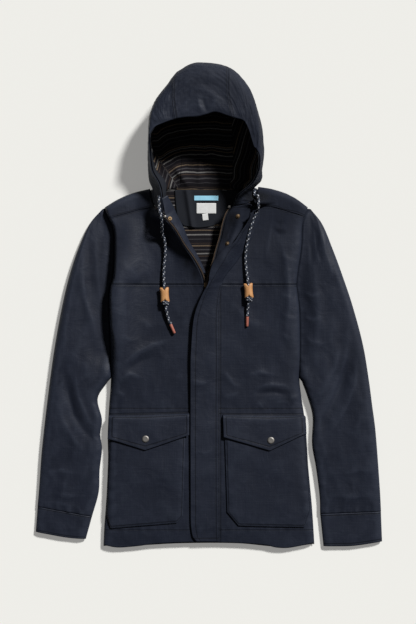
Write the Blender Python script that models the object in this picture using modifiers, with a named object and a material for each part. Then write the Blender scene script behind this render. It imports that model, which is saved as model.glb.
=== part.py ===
"""Hooded waxed cotton jacket, laid flat on its back with the hood propped open.

+X is the viewer's right, +Y runs from the hem to the hood and +Z points up from the
surface that the jacket lies on. "l" and "r" are the viewer's left and right.
Every table is in millimetres, and each panel is a loft between its own seams.
"""
import bpy
import bmesh
from math import cos, exp, hypot, pi, sin, sqrt
from mathutils import Vector

for old in list(bpy.data.objects):
    bpy.data.objects.remove(old, do_unlink=True)

MM = 0.001
CENTRE = Vector((0.0, -3.0, 0.0))     # middle of the garment's box, put on the origin

CLOTH = 1.6          # waxed cotton with its turned edges
HOOD_CLOTH = 1.4
LINING = 1.0
FACING = 1.2
GAP = 0.35           # air between two layers that lie on each other
ROOM = 0.3           # more of it where a front curves under what lies on it

SEAM_TOP = 7.8       # lower edge of a front where it meets the back at the side
SEAM_BACK = 5.4      # upper edge of the back there
CURL = 10.0          # width over which the back turns up to the side seam
ROUND = 16.0         # width over which a front rolls over from the side seam
SHOULDER_ROUND = 13.0
UNDERARM = -150.0    # y of the underarm, where the side seams start
LAPEL_REACH = {"l": 30.0, "r": 60.0}   # width over which an open front rises to its edge

SIGN = {"l": -1, "r": 1}

# name of a finish: colour, roughness, metallic
FINISH = {
    "waxed_cotton": ((0.021, 0.026, 0.036), 0.55, 0.0),
    "striped_lining": ((0.045, 0.036, 0.040), 0.85, 0.0),
    "navy_facing": ((0.030, 0.038, 0.055), 0.80, 0.0),
    "leather": ((0.520, 0.270, 0.115), 0.60, 0.0),
    "cord": ((0.030, 0.045, 0.085), 0.75, 0.0),
    "cord_tip": ((0.330, 0.085, 0.060), 0.35, 0.0),
    "pewter": ((0.420, 0.410, 0.390), 0.32, 1.0),
    "brass": ((0.420, 0.260, 0.110), 0.35, 1.0),
    "blue_tape": ((0.240, 0.450, 0.660), 0.75, 0.0),
    "white_label": ((0.800, 0.790, 0.760), 0.75, 0.0),
}

collection = bpy.data.collections.new("waxed_cotton_jacket")
bpy.context.scene.collection.children.link(collection)
cutters = bpy.data.collections.new("cutters")
bpy.context.scene.collection.children.link(cutters)


def finish(obj, kind):
    """Give an object its own Principled material."""
    colour, roughness, metallic = FINISH[kind]
    material = bpy.data.materials.new(kind + "_" + obj.name)
    material.use_nodes = True
    shader = material.node_tree.nodes["Principled BSDF"]
    shader.inputs["Base Color"].default_value = (*colour, 1.0)
    shader.inputs["Roughness"].default_value = roughness
    shader.inputs["Metallic"].default_value = metallic
    obj.data.materials.clear()
    obj.data.materials.append(material)


def place(point):
    """Millimetres of the tables to metres about the origin."""
    return (Vector(point) - CENTRE) * MM


def smooth(t):
    t = min(max(t, 0.0), 1.0)
    return t * t * (3 - 2 * t)


def quarter(distance, reach):
    """Quarter round: 0 on the edge, 1 from reach inwards."""
    t = min(max(distance / reach, 0.0), 1.0)
    return sqrt(1 - (1 - t) ** 2)


def hermite(knots, p):
    """Value at p of the smooth curve through (position, vector) knots."""
    last = len(knots) - 1
    if p <= knots[0][0]:
        return knots[0][1].copy()
    if p >= knots[last][0]:
        return knots[last][1].copy()
    i = max(k for k in range(last) if knots[k][0] <= p)
    (p0, v0), (p1, v1) = knots[i], knots[i + 1]
    span = p1 - p0
    before = knots[max(i - 1, 0)]
    after = knots[min(i + 2, last)]
    m0 = (v1 - before[1]) / (p1 - before[0]) * span
    m1 = (after[1] - v0) / (after[0] - p0) * span
    t = (p - p0) / span
    return (v0 * (2 * t**3 - 3 * t**2 + 1) + m0 * (t**3 - 2 * t**2 + t)
            + v1 * (3 * t**2 - 2 * t**3) + m1 * (t**3 - t**2))


def curve(*knots):
    """Smooth number through (position, value) knots, level beyond them."""
    knots = [(p, Vector((v, 0.0, 0.0))) for p, v in sorted(knots)]
    return lambda p: hermite(knots, p)[0]


def path(*points):
    """Smooth line through its points, by the share of its length from 0 to 1."""
    points = [Vector((*p, 0.0)[:3]) for p in points]
    lengths = [0.0]
    for a, b in zip(points, points[1:]):
        lengths.append(lengths[-1] + (b - a).length)
    knots = [(length / lengths[-1], p) for length, p in zip(lengths, points)]
    return lambda t: hermite(knots, t)


def corners(*points):
    """Straight-sided line through its points, by the share of its length."""
    points = [Vector((*p, 0.0)[:3]) for p in points]
    lengths = [0.0]
    for a, b in zip(points, points[1:]):
        lengths.append(lengths[-1] + (b - a).length)

    def at(t):
        want = t * lengths[-1]
        i = max(k for k in range(len(points) - 1) if lengths[k] <= want + 1e-9)
        share = (want - lengths[i]) / (lengths[i + 1] - lengths[i])
        return points[i].lerp(points[i + 1], share)
    return at


def patch(bottom, top, left, right):
    """Flat patch between four edge lines, as a function of u (across) and v (up)."""
    c00, c10 = bottom(0.0), bottom(1.0)
    c01, c11 = top(0.0), top(1.0)

    def at(u, v):
        ruled = bottom(u) * (1 - v) + top(u) * v + left(v) * (1 - u) + right(v) * u
        flat = (c00 * (1 - u) + c10 * u) * (1 - v) + (c01 * (1 - u) + c11 * u) * v
        return ruled - flat
    return at


def sheet(name, kind, grid, wall, inner=False, closed=False, skip=None):
    """Cloth of one panel: a loft over rows of points, thickened to its inner side.

    inner turns the faces over, closed joins the last column to the first, and skip
    leaves out the faces of a (row, column) that it is true for.
    """
    bm = bmesh.new()
    rows = [[bm.verts.new(place(p)) for p in row] for row in grid]
    columns = len(grid[0]) if closed else len(grid[0]) - 1
    for i in range(len(rows) - 1):
        for j in range(columns):
            if skip and skip(i, j):
                continue
            k = (j + 1) % len(grid[0])
            face = [rows[i][j], rows[i][k], rows[i + 1][k], rows[i + 1][j]]
            bm.faces.new(face[::-1] if inner else face)
    for vert in [v for v in bm.verts if not v.link_faces]:
        bm.verts.remove(vert)
    mesh = bpy.data.meshes.new(name)
    bm.to_mesh(mesh)
    bm.free()
    mesh.shade_smooth()
    obj = bpy.data.objects.new(name, mesh)
    collection.objects.link(obj)
    thick = obj.modifiers.new("wall", "SOLIDIFY")
    thick.thickness = wall * MM
    thick.offset = -1
    finish(obj, kind)
    return obj


# ---------------------------------------------------------------- outline of the body

# side seam and, above the underarm, the armhole seam: (y, x)
SIDE = {
    "l": curve((-503, -221), (-459, -219), (-408, -215), (-308, -211), (-272, -212),
               (-207, -209), (-155, -205), (-71, -206), (-10, -208), (36, -207),
               (60, -200), (117, -197.5), (162, -200), (190, -213), (206, -218)),
    "r": curve((-500, 221), (-422, 216), (-369, 211), (-302, 205), (-260, 202),
               (-226, 199), (-195, 194), (-163, 189), (-115, 190), (-11, 189),
               (40, 183), (67, 185), (124, 193), (172, 195), (188, 200), (206, 207)),
}
# free edge of each front: closed at the zip below the neck, open above: (y, x)
EDGE = {
    "l": curve((-503, -11), (0, -11), (44, -11), (67, -17), (98, -34), (126, -54),
               (159, -74), (185, -97), (200, -107), (215, -116), (232, -121)),
    "r": curve((-503, -1), (0, -1), (44, -1), (67, 3), (96, 13), (116, 18), (139, 25),
               (165, 31), (186, 37), (207, 50), (210, 66), (214, 80), (221, 90),
               (232, 97)),
}
# how far that edge stands above the front: (y, rise)
RISE = {
    "l": curve((-300, 0), (0, 3), (44, 5), (78, 10), (98, 14), (126, 22), (159, 32),
               (185, 39), (200, 24), (215, 10), (232, 3), (245, 0)),
    "r": curve((-300, 0), (0, 3), (44, 5), (67, 8), (96, 12), (139, 20), (165, 26),
               (186, 32), (207, 36), (214, 28), (221, 16), (232, 6), (246, 0)),
}
# fold line of each shoulder, from the neck outwards: (x, y)
SHOULDER = {
    "l": curve((-218, 206), (-192, 222), (-159, 236), (-123, 245)),
    "r": curve((103, 249), (118, 248), (134, 244), (146, 240), (165, 233), (186, 222.5),
               (207, 206)),
}
YOKE_SEAM = {
    "l": curve((-216, 181), (-169, 194), (-135, 203), (-114, 206)),
    "r": curve((97, 207), (140, 206), (157, 199), (182, 194), (202, 186)),
}
VALLEY = {"l": 9.0, "r": 13.0}       # height of the cloth in the armhole seam
CROWN = curve((-503, 13), (-450, 17), (-300, 19), (-214, 17.5), (-100, 19),
              (44, 20), (120, 20), (200, 18))
FULL = {               # how much fuller each front lies beside its side seam, by y
    "l": curve((-215, 0), (-170, 4), (-120, 10), (-60, 18), (0, 23), (70, 22), (130, 14),
               (190, 4)),
    "r": curve((-215, 0), (0, 3), (190, 2)),
}
FULL_AT, FULL_WIDTH = 22.0, 31.0

# largest folds of the fronts: start, end, height (a trough is negative), half width
BODY_FOLDS = (
    (-175, -119, -120, -81, 4.0, 14),
    (-120, -81, -80, -73, 2.5, 12),
    (-186, -155, -140, -147, 2.5, 10),
    (-188, 80, -182, 150, 2.0, 16),
    (98, -172, 170, -168, 4.0, 12),
    (80, -136, 112, -132, 2.0, 12),
    (166, 10, 172, 150, 3.0, 14),
    (60, -118, 80, -150, 2.0, 14),
)
# largest folds of the sleeves
SLEEVE_FOLDS = (
    (-262, 125, -255, 20, 3.0, 16),
    (-255, 20, -228, -60, 3.0, 14),
    (-300, -110, -272, -220, -5.0, 14),
    (-272, -220, -232, -288, -4.5, 13),
    (297, -65, 280, -150, -4.5, 15),
    (280, -150, 224, -275, -5.0, 14),
    (238, 150, 248, 60, 3.0, 15),
)


def fold_height(folds, x, y):
    """Sum of soft ridges and troughs, each along its own line."""
    total = 0.0
    for x0, y0, x1, y1, height, width in folds:
        dx, dy = x1 - x0, y1 - y0
        share = ((x - x0) * dx + (y - y0) * dy) / (dx * dx + dy * dy)
        share = min(max(share, 0.0), 1.0)
        away = hypot(x - x0 - share * dx, y - y0 - share * dy)
        total += height * exp(-(away / width) ** 2)
    return total


def front_height(half, x, y):
    """Outer surface of a front above the floor."""
    sign = SIGN[half]
    side = sign * (SIDE[half](y) - x)
    seam = SEAM_TOP + (VALLEY[half] - SEAM_TOP) * smooth((y - UNDERARM) / 40)
    crown = CROWN(y) + FULL[half](y) * exp(-((side - FULL_AT) / FULL_WIDTH) ** 2)
    body = seam + (crown + fold_height(BODY_FOLDS, x, y) - seam) * quarter(side, ROUND)
    inside = sign * (x - EDGE[half](y))
    body += RISE[half](y) * (1 - smooth(inside / LAPEL_REACH[half]))
    shoulder = quarter(SHOULDER[half](x) - y, SHOULDER_ROUND)
    if y > 150:
        body = SEAM_TOP + (body - SEAM_TOP) * shoulder
    return body


def on_front(half, x, y, lift=0.0):
    """Point of a front's outer surface, moved out along its normal."""
    step = 1.0
    z = front_height(half, x, y)
    if not lift:
        return Vector((x, y, z))
    slope_x = (front_height(half, x + step, y) - front_height(half, x - step, y)) / 2
    slope_y = (front_height(half, x, y + step) - front_height(half, x, y - step)) / 2
    normal = Vector((-slope_x, -slope_y, 1.0)).normalized()
    return Vector((x, y, z)) + normal * lift


ACROSS = (0, .02, .075, .15, .32, .5, .66, .76, .86, .95, 1)


# --------------------------------------------------------------------- body panels

HEM = {
    "l": path((-221, -500), (-192, -505), (-157, -503), (-106, -497), (-35, -494),
              (-11, -495)),
    "r": path((221, -495), (195, -501), (165, -506), (140, -505), (119, -500),
              (60, -496), (-1, -495)),
}
CHEST_SEAM_Y = 44.0
YOKE_CORNER = {"l": -114.0, "r": 98.0}     # x where the yoke's seam meets the neck
YOKE_GAP = 1.3
NECK = {   # foot of the hood on each front, from the zip's top to the shoulder
    "l": ((-97, 186), (-107, 200), (-116, 215), (-121, 232), (-122, 244)),
    "r": ((50, 207), (66, 210), (80, 213), (91, 219), (98, 231), (102, 246)),
}


def line_of(table, y0, y1, count=8):
    """A seam given as x at each y, as a path from y0 to y1."""
    return path(*[(table(y0 + (y1 - y0) * i / count), y0 + (y1 - y0) * i / count)
                  for i in range(count + 1)])


def lower_front(half):
    sign = SIGN[half]
    y1 = CHEST_SEAM_Y - GAP / 2
    hem = HEM[half]
    top = path((SIDE[half](y1), y1), (EDGE[half](y1), y1))
    flat = patch(hem, top, line_of(SIDE[half], hem(0).y, y1, 12),
                 line_of(EDGE[half], hem(1).y, y1, 4))
    rows = (0, .03, .1, .2, .3, .4, .5, .56, .6, .64, .68, .72, .78, .85, .92, 1)
    grid = [[on_front(half, *flat(u, v).xy) for u in ACROSS] for v in rows]
    sheet("front_" + half, "waxed_cotton", grid, CLOTH, inner=sign > 0)


def upper_front(half):
    sign = SIGN[half]
    y0 = CHEST_SEAM_Y + GAP / 2
    seam = YOKE_SEAM[half]
    outer = SIDE[half](seam(SIDE[half](186)))
    edge_top = NECK[half][0][1] - 1.0
    inner_x = YOKE_CORNER[half]
    top_points = []
    for share in (0, .35, .7, 1):
        x = outer + (inner_x - outer) * share
        top_points.append((x, seam(x) - YOKE_GAP))
    if half == "l":
        top_points += [(-109.2, 198.2), (EDGE[half](edge_top), edge_top)]
    else:
        top_points += [(80, 211.5), (66, 208.5), (EDGE[half](edge_top), edge_top)]
    bottom = path((SIDE[half](y0), y0), (EDGE[half](y0), y0))
    flat = patch(bottom, path(*top_points), line_of(SIDE[half], y0, top_points[0][1]),
                 line_of(EDGE[half], y0, edge_top, 10))
    rows = (0, .12, .25, .38, .5, .62, .74, .87, 1)
    grid = [[on_front(half, *flat(u, v).xy) for u in ACROSS] for v in rows]
    sheet("chest_" + half, "waxed_cotton", grid, CLOTH, inner=sign > 0)


def yoke(half):
    sign = SIGN[half]
    seam = YOKE_SEAM[half]
    neck_high = NECK[half][-1]
    clear = 1.2
    x0 = SIDE[half](seam(SIDE[half](186)))
    x1 = YOKE_CORNER[half]
    x2, x3 = SIDE[half](205), neck_high[0] + sign * clear
    bottom = path(*[(x0 + (x1 - x0) * t, seam(x0 + (x1 - x0) * t))
                    for t in (0, .33, .66, 1)])
    top = path(*[(x2 + (x3 - x2) * t, SHOULDER[half](x2 + (x3 - x2) * t))
                 for t in (0, .33, .66, 1)])
    if half == "l":
        neck = path((x1, seam(x1)), (-117.5, 215), (-122.3, 232), (x3, SHOULDER[half](x3)))
    else:
        neck = path((x1, seam(x1)), (93.5, 219), (99.5, 231), (x3, SHOULDER[half](x3)))
    flat = patch(bottom, top, path(bottom(0).xy, top(0).xy), neck)
    grid = []
    for v in (0, .25, .5, .72, .87, .96, 1):
        grid.append([on_front(half, *flat(u, v).xy)
                     for u in (0, .03, .12, .3, .5, .7, .88, 1)])
    sheet("yoke_" + half, "waxed_cotton", grid, CLOTH, inner=sign > 0)


def back_lift(x, y, outline_distance, side_distance):
    """Underside of the back, turned up to its side and shoulder seams."""
    side = 0.0
    if side_distance < CURL:
        side = (1 - quarter(side_distance, CURL)) * smooth((UNDERARM - y) / 30)
    shoulder = 0.0
    if outline_distance < CURL and (x < -123 or x > 103):
        shoulder = 1 - quarter(outline_distance, CURL)
    return SEAM_BACK * max(side, shoulder)


def back():
    tip_l, tip_r = (-217, 204), (206, 204)
    bottom = path((-221, -503), (-160, -503), (-60, -498), (60, -498), (160, -506),
                  (221, -499))
    top = path(tip_l, (-192, 221), (-159, 235), (-123.5, 243), (-60, 242.5),
               (50, 243), (104, 245), (134, 237), (165, 231), (186, 221), tip_r)
    left = path(*[(SIDE["l"](y), y) for y in range(-503, 205, 59)], tip_l)
    right = path(*[(SIDE["r"](y), y) for y in range(-499, 205, 59)], tip_r)
    flat = patch(bottom, top, left, right)
    width, height = 425.0, 735.0
    grid = []
    for v in (0, .12, .26, .4, .52, .64, .70, .8, .9, .96, .9865, .996, 1):
        row = []
        for u in (0, .006, .0235, .12, .228, .246, .5, .722, .745, .87, .9765, .994, 1):
            p = flat(u, v)
            z = back_lift(p.x, p.y, (1 - v) * height, min(u, 1 - u) * width)
            row.append(Vector((p.x, p.y, z)))
        grid.append(row)
    sheet("back", "waxed_cotton", grid, CLOTH, inner=True)


# storm flap: its free edge, its sewn edge and how far the free edge is raised: (y, mm)
FLAP_FREE = curve((-491, -26), (-482, -33), (-462, -37), (-430, -38), (-119, -38),
                  (-71, -36), (-33, -33), (-11, -28), (21, -16), (52, 0), (84, 15),
                  (118, 35), (136, 50), (160, 62), (181, 72), (202, 76))
FLAP_SEWN = curve((-492, 22), (-119, 22), (44, 27), (97, 62), (136, 88), (175, 104),
                  (197, 108))
FLAP_RAISED = curve((-490, 2), (-300, 3.5), (-150, 5), (-50, 7), (0, 9.5), (44, 12), (97, 11),
                    (136, 10), (181, 13), (202, 15))
FLAP_TOP = 200.0


def flap_lift(x, y):
    """Outer surface of the storm flap above the front that it lies on."""
    share = (FLAP_SEWN(y) - x) / (FLAP_SEWN(y) - FLAP_FREE(y))
    return CLOTH + GAP + ROOM + .2 + FLAP_RAISED(y) * min(max(share, 0.0), 1.0) ** 1.3


def storm_flap():
    """Flap over the zip: sewn down on the right, its free edge raised at the neck."""
    free = path(*[(FLAP_FREE(y), y) for y in (-491, -482, -462, -430, -119, -71, -33,
                                              -11, 21, 52, 84, 118, 136, 160, 181, 201)])
    sewn = path(*[(FLAP_SEWN(y), y) for y in (-492, -119, 44, 97, 136, 175, 197)])
    flat = patch(path((-26, -491), (22, -492)), path(free(1).xy, sewn(1).xy), free, sewn)
    rows = (0, .012, .03, .08, .2, .32, .44, .56, .64, .7, .75, .8, .845, .89, .93, .97, 1)
    grid = []
    for v in rows:
        points = [flat(u, v).xy for u in (0, .25, .5, .78, 1)]
        grid.append([on_front("r", x, y, flap_lift(x, y)) for x, y in points])
    sheet("storm_flap", "waxed_cotton", grid, CLOTH)


# ------------------------------------------------------------------ pockets and flaps

POCKET_FULL = 2.4      # how far a patch pocket stands proud in its middle
POCKETS = {
    # top line, bottom line with its cut corners, outer edge, inner edge
    "l": (((-206, -242), (-48, -240)),
          ((-212, -435), (-205, -464), (-67, -453), (-54, -438))),
    "r": (((200, -243), (32, -241)),
          ((211, -424), (200, -462), (62, -459), (38, -430))),
}
FLAPS = {
    "l": (((-206, -227), (-41, -223)), ((-207, -277), (-133, -300), (-41, -269))),
    "r": (((197, -227), (29, -226)), ((199, -267), (127, -301), (31, -273))),
}
FLAP_LIFT = POCKET_FULL + 2 * CLOTH + 2 * GAP + 2 * ROOM


def pocket(half):
    sign = SIGN[half]
    top_points, bottom_points = POCKETS[half]
    bottom = corners(*bottom_points)
    flat = patch(bottom, path(*top_points), path(bottom_points[0], top_points[0]),
                 path(bottom_points[-1], top_points[-1]))
    across = (0, .03, .077, .174, .4, .65, .87, 1)
    grid = []
    for v in (0, .05, .14, .4, .7, 1):
        row = []
        for u in across:
            x, y = flat(u, v).xy
            proud = POCKET_FULL * min(quarter(min(u, 1 - u), .15), quarter(v, .14))
            row.append(on_front(half, x, y, CLOTH + GAP + ROOM + proud))
        grid.append(row)
    sheet("pocket_" + half, "waxed_cotton", grid, CLOTH, inner=sign > 0)


def pocket_flap(half):
    sign = SIGN[half]
    top_points, bottom_points = FLAPS[half]
    flat = patch(corners(*bottom_points), path(*top_points),
                 path(bottom_points[0], top_points[0]),
                 path(bottom_points[-1], top_points[-1]))
    point = ((Vector(bottom_points[1]) - Vector(bottom_points[0])).length
             / ((Vector(bottom_points[1]) - Vector(bottom_points[0])).length
                + (Vector(bottom_points[2]) - Vector(bottom_points[1])).length))
    grid = []
    for v, lift in ((0, 1), (.3, 1), (.6, 1), (.76, 1), (.9, .35), (1, 0)):
        row = []
        for u in (0, .06, .15, .28, point, .62, .82, 1):
            x, y = flat(u, v).xy
            height = CLOTH + GAP + ROOM + (FLAP_LIFT - CLOTH - GAP) * lift
            row.append(on_front(half, x, y, height))
        grid.append(row)
    sheet("pocket_flap_" + half, "waxed_cotton", grid, CLOTH, inner=sign > 0)


# ---------------------------------------------------------------------------- sleeves

SLEEVES = {
    # lines from the shoulder down: outer edge, inner edge, then the cuff seam
    "l": {
        "outer": ((-225, 200), (-249, 173), (-272, 124), (-293, 61), (-310, -13),
                  (-325, -98), (-338, -195), (-350, -302), (-356, -385), (-359, -420)),
        "inner": ((-220.5, 203), (-215.5, 189), (-202.4, 162), (-199.8, 117), (-202.4, 61),
                  (-209.4, 36), (-210.6, 5), (-209, -40), (-207.9, -100), (-208.5, -150),
                  (-233, -193), (-224, -239), (-228, -270), (-224, -297), (-229, -344),
                  (-231, -390), (-245, -441)),
        "cuff": ((-359, -420), (-245, -441)),
        "end": ((-363, -473), (-296, -485), (-258, -488)),
    },
    "r": {
        "outer": ((213, 203), (237, 172), (258.5, 121), (277.5, 70), (301, 0), (323, -83),
                  (335, -155), (342, -208), (349, -262), (358, -381), (360.5, -430)),
        "inner": ((209.8, 204), (202.5, 188), (195.6, 124), (187.6, 67), (186.6, 40),
                  (191.4, -11), (192.4, -115), (193, -150), (205, -186), (217, -230),
                  (216, -290), (224, -337), (232, -400), (233, -435)),
        "cuff": ((360.5, -430), (233, -435)),
        "end": ((363, -493), (302, -502), (240, -503)),
    },
}
SLEEVE_CROWN = curve((-500, 11), (-430, 12), (-350, 15), (-200, 19), (0, 21),
                     (120, 20), (190, 13), (205, 9.5))
SLEEVE_ROUND = 15.0
SLEEVE_SLOPE = {"l": 85.0, "r": 40.0}      # width of its rise from the armhole seam


def sleeve_patch(half):
    lines = SLEEVES[half]
    outer, inner = path(*lines["outer"]), path(*lines["inner"])
    return patch(path(inner(0).xy, outer(0).xy), path(*lines["cuff"][::-1]), inner, outer)


def sleeve_top(half):
    """Upper half of the sleeve, from the shoulder to the cuff seam."""
    sign = SIGN[half]
    flat = sleeve_patch(half)
    grid = []
    for v in (0, .03, .07, .12, .18, .24, .3, .36, .42, .48, .54, .6, .66, .72, .79, .87,
              .95, .9996):
        inner, outer = flat(0, v), flat(1, v)
        width = (outer - inner).length
        row = []
        for u in (0, .035, .12, .27, .45, .62, .78, .9, .97, 1):
            p = flat(u, v)
            crown = SLEEVE_CROWN(p.y) + fold_height(SLEEVE_FOLDS, p.x, p.y)
            valley = SEAM_TOP + (VALLEY[half] - SEAM_TOP) * smooth((p.y - UNDERARM) / 40)
            valley = SEAM_TOP + (valley - SEAM_TOP) * smooth((204 - p.y) / 20)
            base = valley + (SEAM_TOP - valley) * u
            rise = quarter(u * width, SLEEVE_ROUND)
            rise += (smooth(u * width / SLEEVE_SLOPE[half]) - rise) * smooth(
                (p.y - UNDERARM) / 60)
            full = min(rise, quarter((1 - u) * width, SLEEVE_ROUND))
            row.append(Vector((p.x, p.y, base + (max(crown, base + .5) - base) * full)))
        grid.append(row)
    sheet(f"sleeve_{half}_top", "waxed_cotton", grid, CLOTH, inner=sign > 0)


def sleeve_under(half):
    """Under half, flat on the floor and turned up to the top half at both sides."""
    sign = SIGN[half]
    flat = sleeve_patch(half)
    grid = []
    for v in (0, .05, .12, .2, .27, .3, .33, .45, .55, .65, .75, .88, .9996):
        width = (flat(1, v) - flat(0, v)).length
        turn = min(CURL / width, .3)
        row = []
        for u in (0, turn * .26, turn, .5, 1 - turn, 1 - turn * .26, 1):
            p = flat(u, v)
            arm = smooth((UNDERARM - p.y) / 30)
            z = (1 - quarter(u * width, CURL)) * arm
            z = max(z, 1 - quarter((1 - u) * width, CURL))
            row.append(Vector((p.x, p.y, SEAM_BACK * z)))
        grid.append(row)
    sheet(f"sleeve_{half}_under", "waxed_cotton", grid, CLOTH, inner=sign < 0)


def cuff(half):
    """Cuff band, sewn to the end of the sleeve all round."""
    lines = SLEEVES[half]
    seam, end = path(*lines["cuff"][::-1]), path(*lines["end"][::-1])
    grid = []
    for v, full in ((.003, 10.5), (.5, 11.5), (1, 10.5)):
        inner, outer = seam(0).lerp(end(0), v), seam(1).lerp(end(1), v)
        width = (outer - inner).length
        loop = []
        for u in (0, .03, .12, .35, .6, .88, .97):
            p = seam(u).lerp(end(u), v)
            rise = min(quarter(u * width, 14), quarter((1 - u) * width, 14))
            loop.append(Vector((p.x, p.y, 5.5 + (full - 5.5) * rise)))
        for u in (1, .97, .9, .6, .35, .1, .03):
            p = seam(u).lerp(end(u), v)
            fall = min(quarter(u * width, 9), quarter((1 - u) * width, 9))
            loop.append(Vector((p.x, p.y, 5.5 * (1 - fall))))
        grid.append(loop)
    sheet("cuff_" + half, "waxed_cotton", grid, CLOTH, inner=half == "r", closed=True)


# ------------------------------------------------------------------------------- hood

CHANNEL = 28.0         # width of the cord channel round the opening
SEAMS = (              # the two long seams of each row below, by share of the way across
    (.345, .655), (.345, .655), (.345, .655), (.345, .655), (.345, .64), (.345, .62),
    (.343, .60), (.337, .575), (.314, .585), (.278, .61), (.243, .677))
HOOD_FOOT_LIFT = 0.5
# left rim, right rim, middle of the hood's back, bulge left and right, squareness
HOOD_ROWS = (
    ((-98, 226, 60), (62, 226, 67), (-11, 252, 0), 36, 38, 3.2),
    ((-104, 252, 59), (90, 250, 80), (-10, 268, 0), 32, 34, 3.2),
    ((-118, 278, 61), (103, 276, 94), (-10, 292, 0), 18, 20, 3.2),
    ((-122, 312, 72), (105, 298, 100), (-9, 332, 0), 15, 22, 3.1),
    ((-122.5, 324, 79), (104, 305, 101), (-9, 400, 2), 13, 19, 2.8),
    ((-123, 331, 82), (102, 310, 101), (-7, 466, 16), 11, 14, 2.5),
    ((-123, 336, 85), (100, 313, 101), (-5, 500, 58), 9, 10, 2.25),
    ((-123, 341, 88), (98, 316, 101), (-3, 486, 89), 7, 7, 2.15),
    ((-123, 345, 90), (96, 319, 101), (0, 442, 97), 4, 5, 2.05),
    ((-123, 349, 92), (94, 322, 101), (4, 392, 99), 1, 2, 2.0),
)
# how hard the hood's left side is drawn in, and its right side let out, towards its top
HOOD_IN = curve((390, 0), (401, .13), (411, .33), (422, .43), (432, .74), (442, 1.18),
                (453, 1.7), (463, 1.97), (473, 2.3), (484, 2.63), (494, 4.3), (505, 6))
HOOD_LET_OUT = curve((380, 0), (405, -.2), (432, -.25), (453, -.1), (463, 0), (473, .5),
                     (484, 1.3), (494, 4))
HOOD_MIDDLE = -5.0


def even_line(points):
    """Share of length along a polyline to a point of it, and its length."""
    lengths = [0.0]
    for a, b in zip(points, points[1:]):
        lengths.append(lengths[-1] + (b - a).length)

    def at(t):
        want = min(max(t, 0.0), 1.0) * lengths[-1]
        i = max(k for k in range(len(points) - 1) if lengths[k] <= want + 1e-9)
        return points[i].lerp(points[i + 1], (want - lengths[i])
                              / (lengths[i + 1] - lengths[i]))
    return at, lengths[-1]


def foot_point(half, x, y):
    return Vector((x, y, front_height(half, x, min(y, 238)) + HOOD_FOOT_LIFT))


def hood_foot():
    """Foot of the hood: over both fronts, round the shoulders and along the back."""
    left = [foot_point("l", x, y) for x, y in NECK["l"][:-1]]
    right = [foot_point("r", x, y) for x, y in NECK["r"][:-1]]
    floor = [Vector(p) for p in ((-121.2, 243, 7), (-116, 245.5, 1.6), (-106, 246, 0),
                                 (-60, 244.5, 0), (-12, 244.2, 0), (45, 245, 0),
                                 (86, 247.5, 0), (96, 248, 1.6), (101, 246, 8))]
    return left + floor + right[::-1]


def hood_section(row):
    left, right, middle, bulge_l, bulge_r, square = row
    left, right, middle = Vector(left), Vector(right), Vector(middle)
    half, centre = (left - right) / 2, (left + right) / 2
    depth = middle - centre
    points = []
    count = 48
    for i in range(count + 1):
        angle = pi * i / count
        c, s = cos(angle), sin(angle)
        across = (1 if c >= 0 else -1) * abs(c) ** (2 / square)
        point = centre + half * across + depth * max(s, 0.0) ** (2 / square)
        bulge = bulge_l if c > 0 else -bulge_r
        point.x -= bulge * abs(sin(2 * angle))
        pull = HOOD_IN if point.x < HOOD_MIDDLE else HOOD_LET_OUT
        point.x += pull(point.y) / 1000 * (point.x - HOOD_MIDDLE) ** 2
        point.z = max(point.z, 0.0)
        points.append(point)
    return points


HOOD = [even_line(hood_foot())] + [even_line(hood_section(row)) for row in HOOD_ROWS]
LAST = len(HOOD) - 1


def hood_point(s, c):
    """Outer surface of the hood: s from the neck (0) to the brim, c across.

    c is 0 to 1 over the left channel, then 1 to 2, 2 to 3 and 3 to 4 over the three
    panels inside it, and 4 to 5 over the right channel.
    """
    knots = []
    for k in range(max(int(s) - 1, 0), min(int(s) + 3, LAST + 1)):
        at, length = HOOD[k]
        rim = CHANNEL / length
        bounds = (0.0, rim, *SEAMS[k], 1 - rim, 1.0)
        i = min(max(int(c), 0), 4)
        knots.append((k, at(bounds[i] + (bounds[i + 1] - bounds[i]) * (c - i))))
    return hermite(knots, s)


RIM_NORMAL = .4
BRIM_FOLD = (8.5, -122.8)       # s above which the hood's left side folds over, its x


def hood_normal(s, c):
    """Outward normal; close to the rims it is that of the cloth just inside them."""
    ds, dc = .05, .03
    c = min(max(c, RIM_NORMAL), 5 - RIM_NORMAL)
    s0, s1 = max(s - ds, 0), min(s + ds, LAST)
    c0, c1 = max(c - dc, 0), min(c + dc, 5)
    along = hood_point(s1, c) - hood_point(s0, c)
    across = hood_point(s, c1) - hood_point(s, c0)
    return along.cross(across).normalized()


def hood_grid(rows, columns, inward=0.0):
    """Points of the hood, moved in, and kept inside the fold at the brim's left end."""
    grid = []
    for s in rows:
        row = [hood_point(s, c) - hood_normal(s, c) * inward for c in columns]
        if inward and s > BRIM_FOLD[0]:
            for point in row:
                point.x = max(point.x, BRIM_FOLD[1] + inward)
        grid.append(row)
    return grid


BRIM_CHANNEL = LAST - CHANNEL / 49.0        # s where the brim's channel begins
SEAM_C = .012          # half the gap at a hood seam, in the measure across


def hood():
    rows = (0, .5, 1, 2, 3, 4, 5, 6, 6.5, 7, 7.5, 8, 9, 9.43, 9.7, LAST)
    left = (0, .22, .6, 1, 1.15, 1.35, 1.65, 2 - SEAM_C)
    centre = (2 + SEAM_C, 2.3, 2.7, 3 - SEAM_C)
    right = [5 - c for c in left[::-1]]
    for name, columns in (("hood_side_l", left), ("hood_centre", centre),
                          ("hood_side_r", right)):
        sheet(name, "waxed_cotton", hood_grid(rows, columns), HOOD_CLOTH, inner=True)


FOLD_ROOM = .9         # room that the hood's layers leave each other at its tight folds
LINING_ROOM = .4


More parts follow.
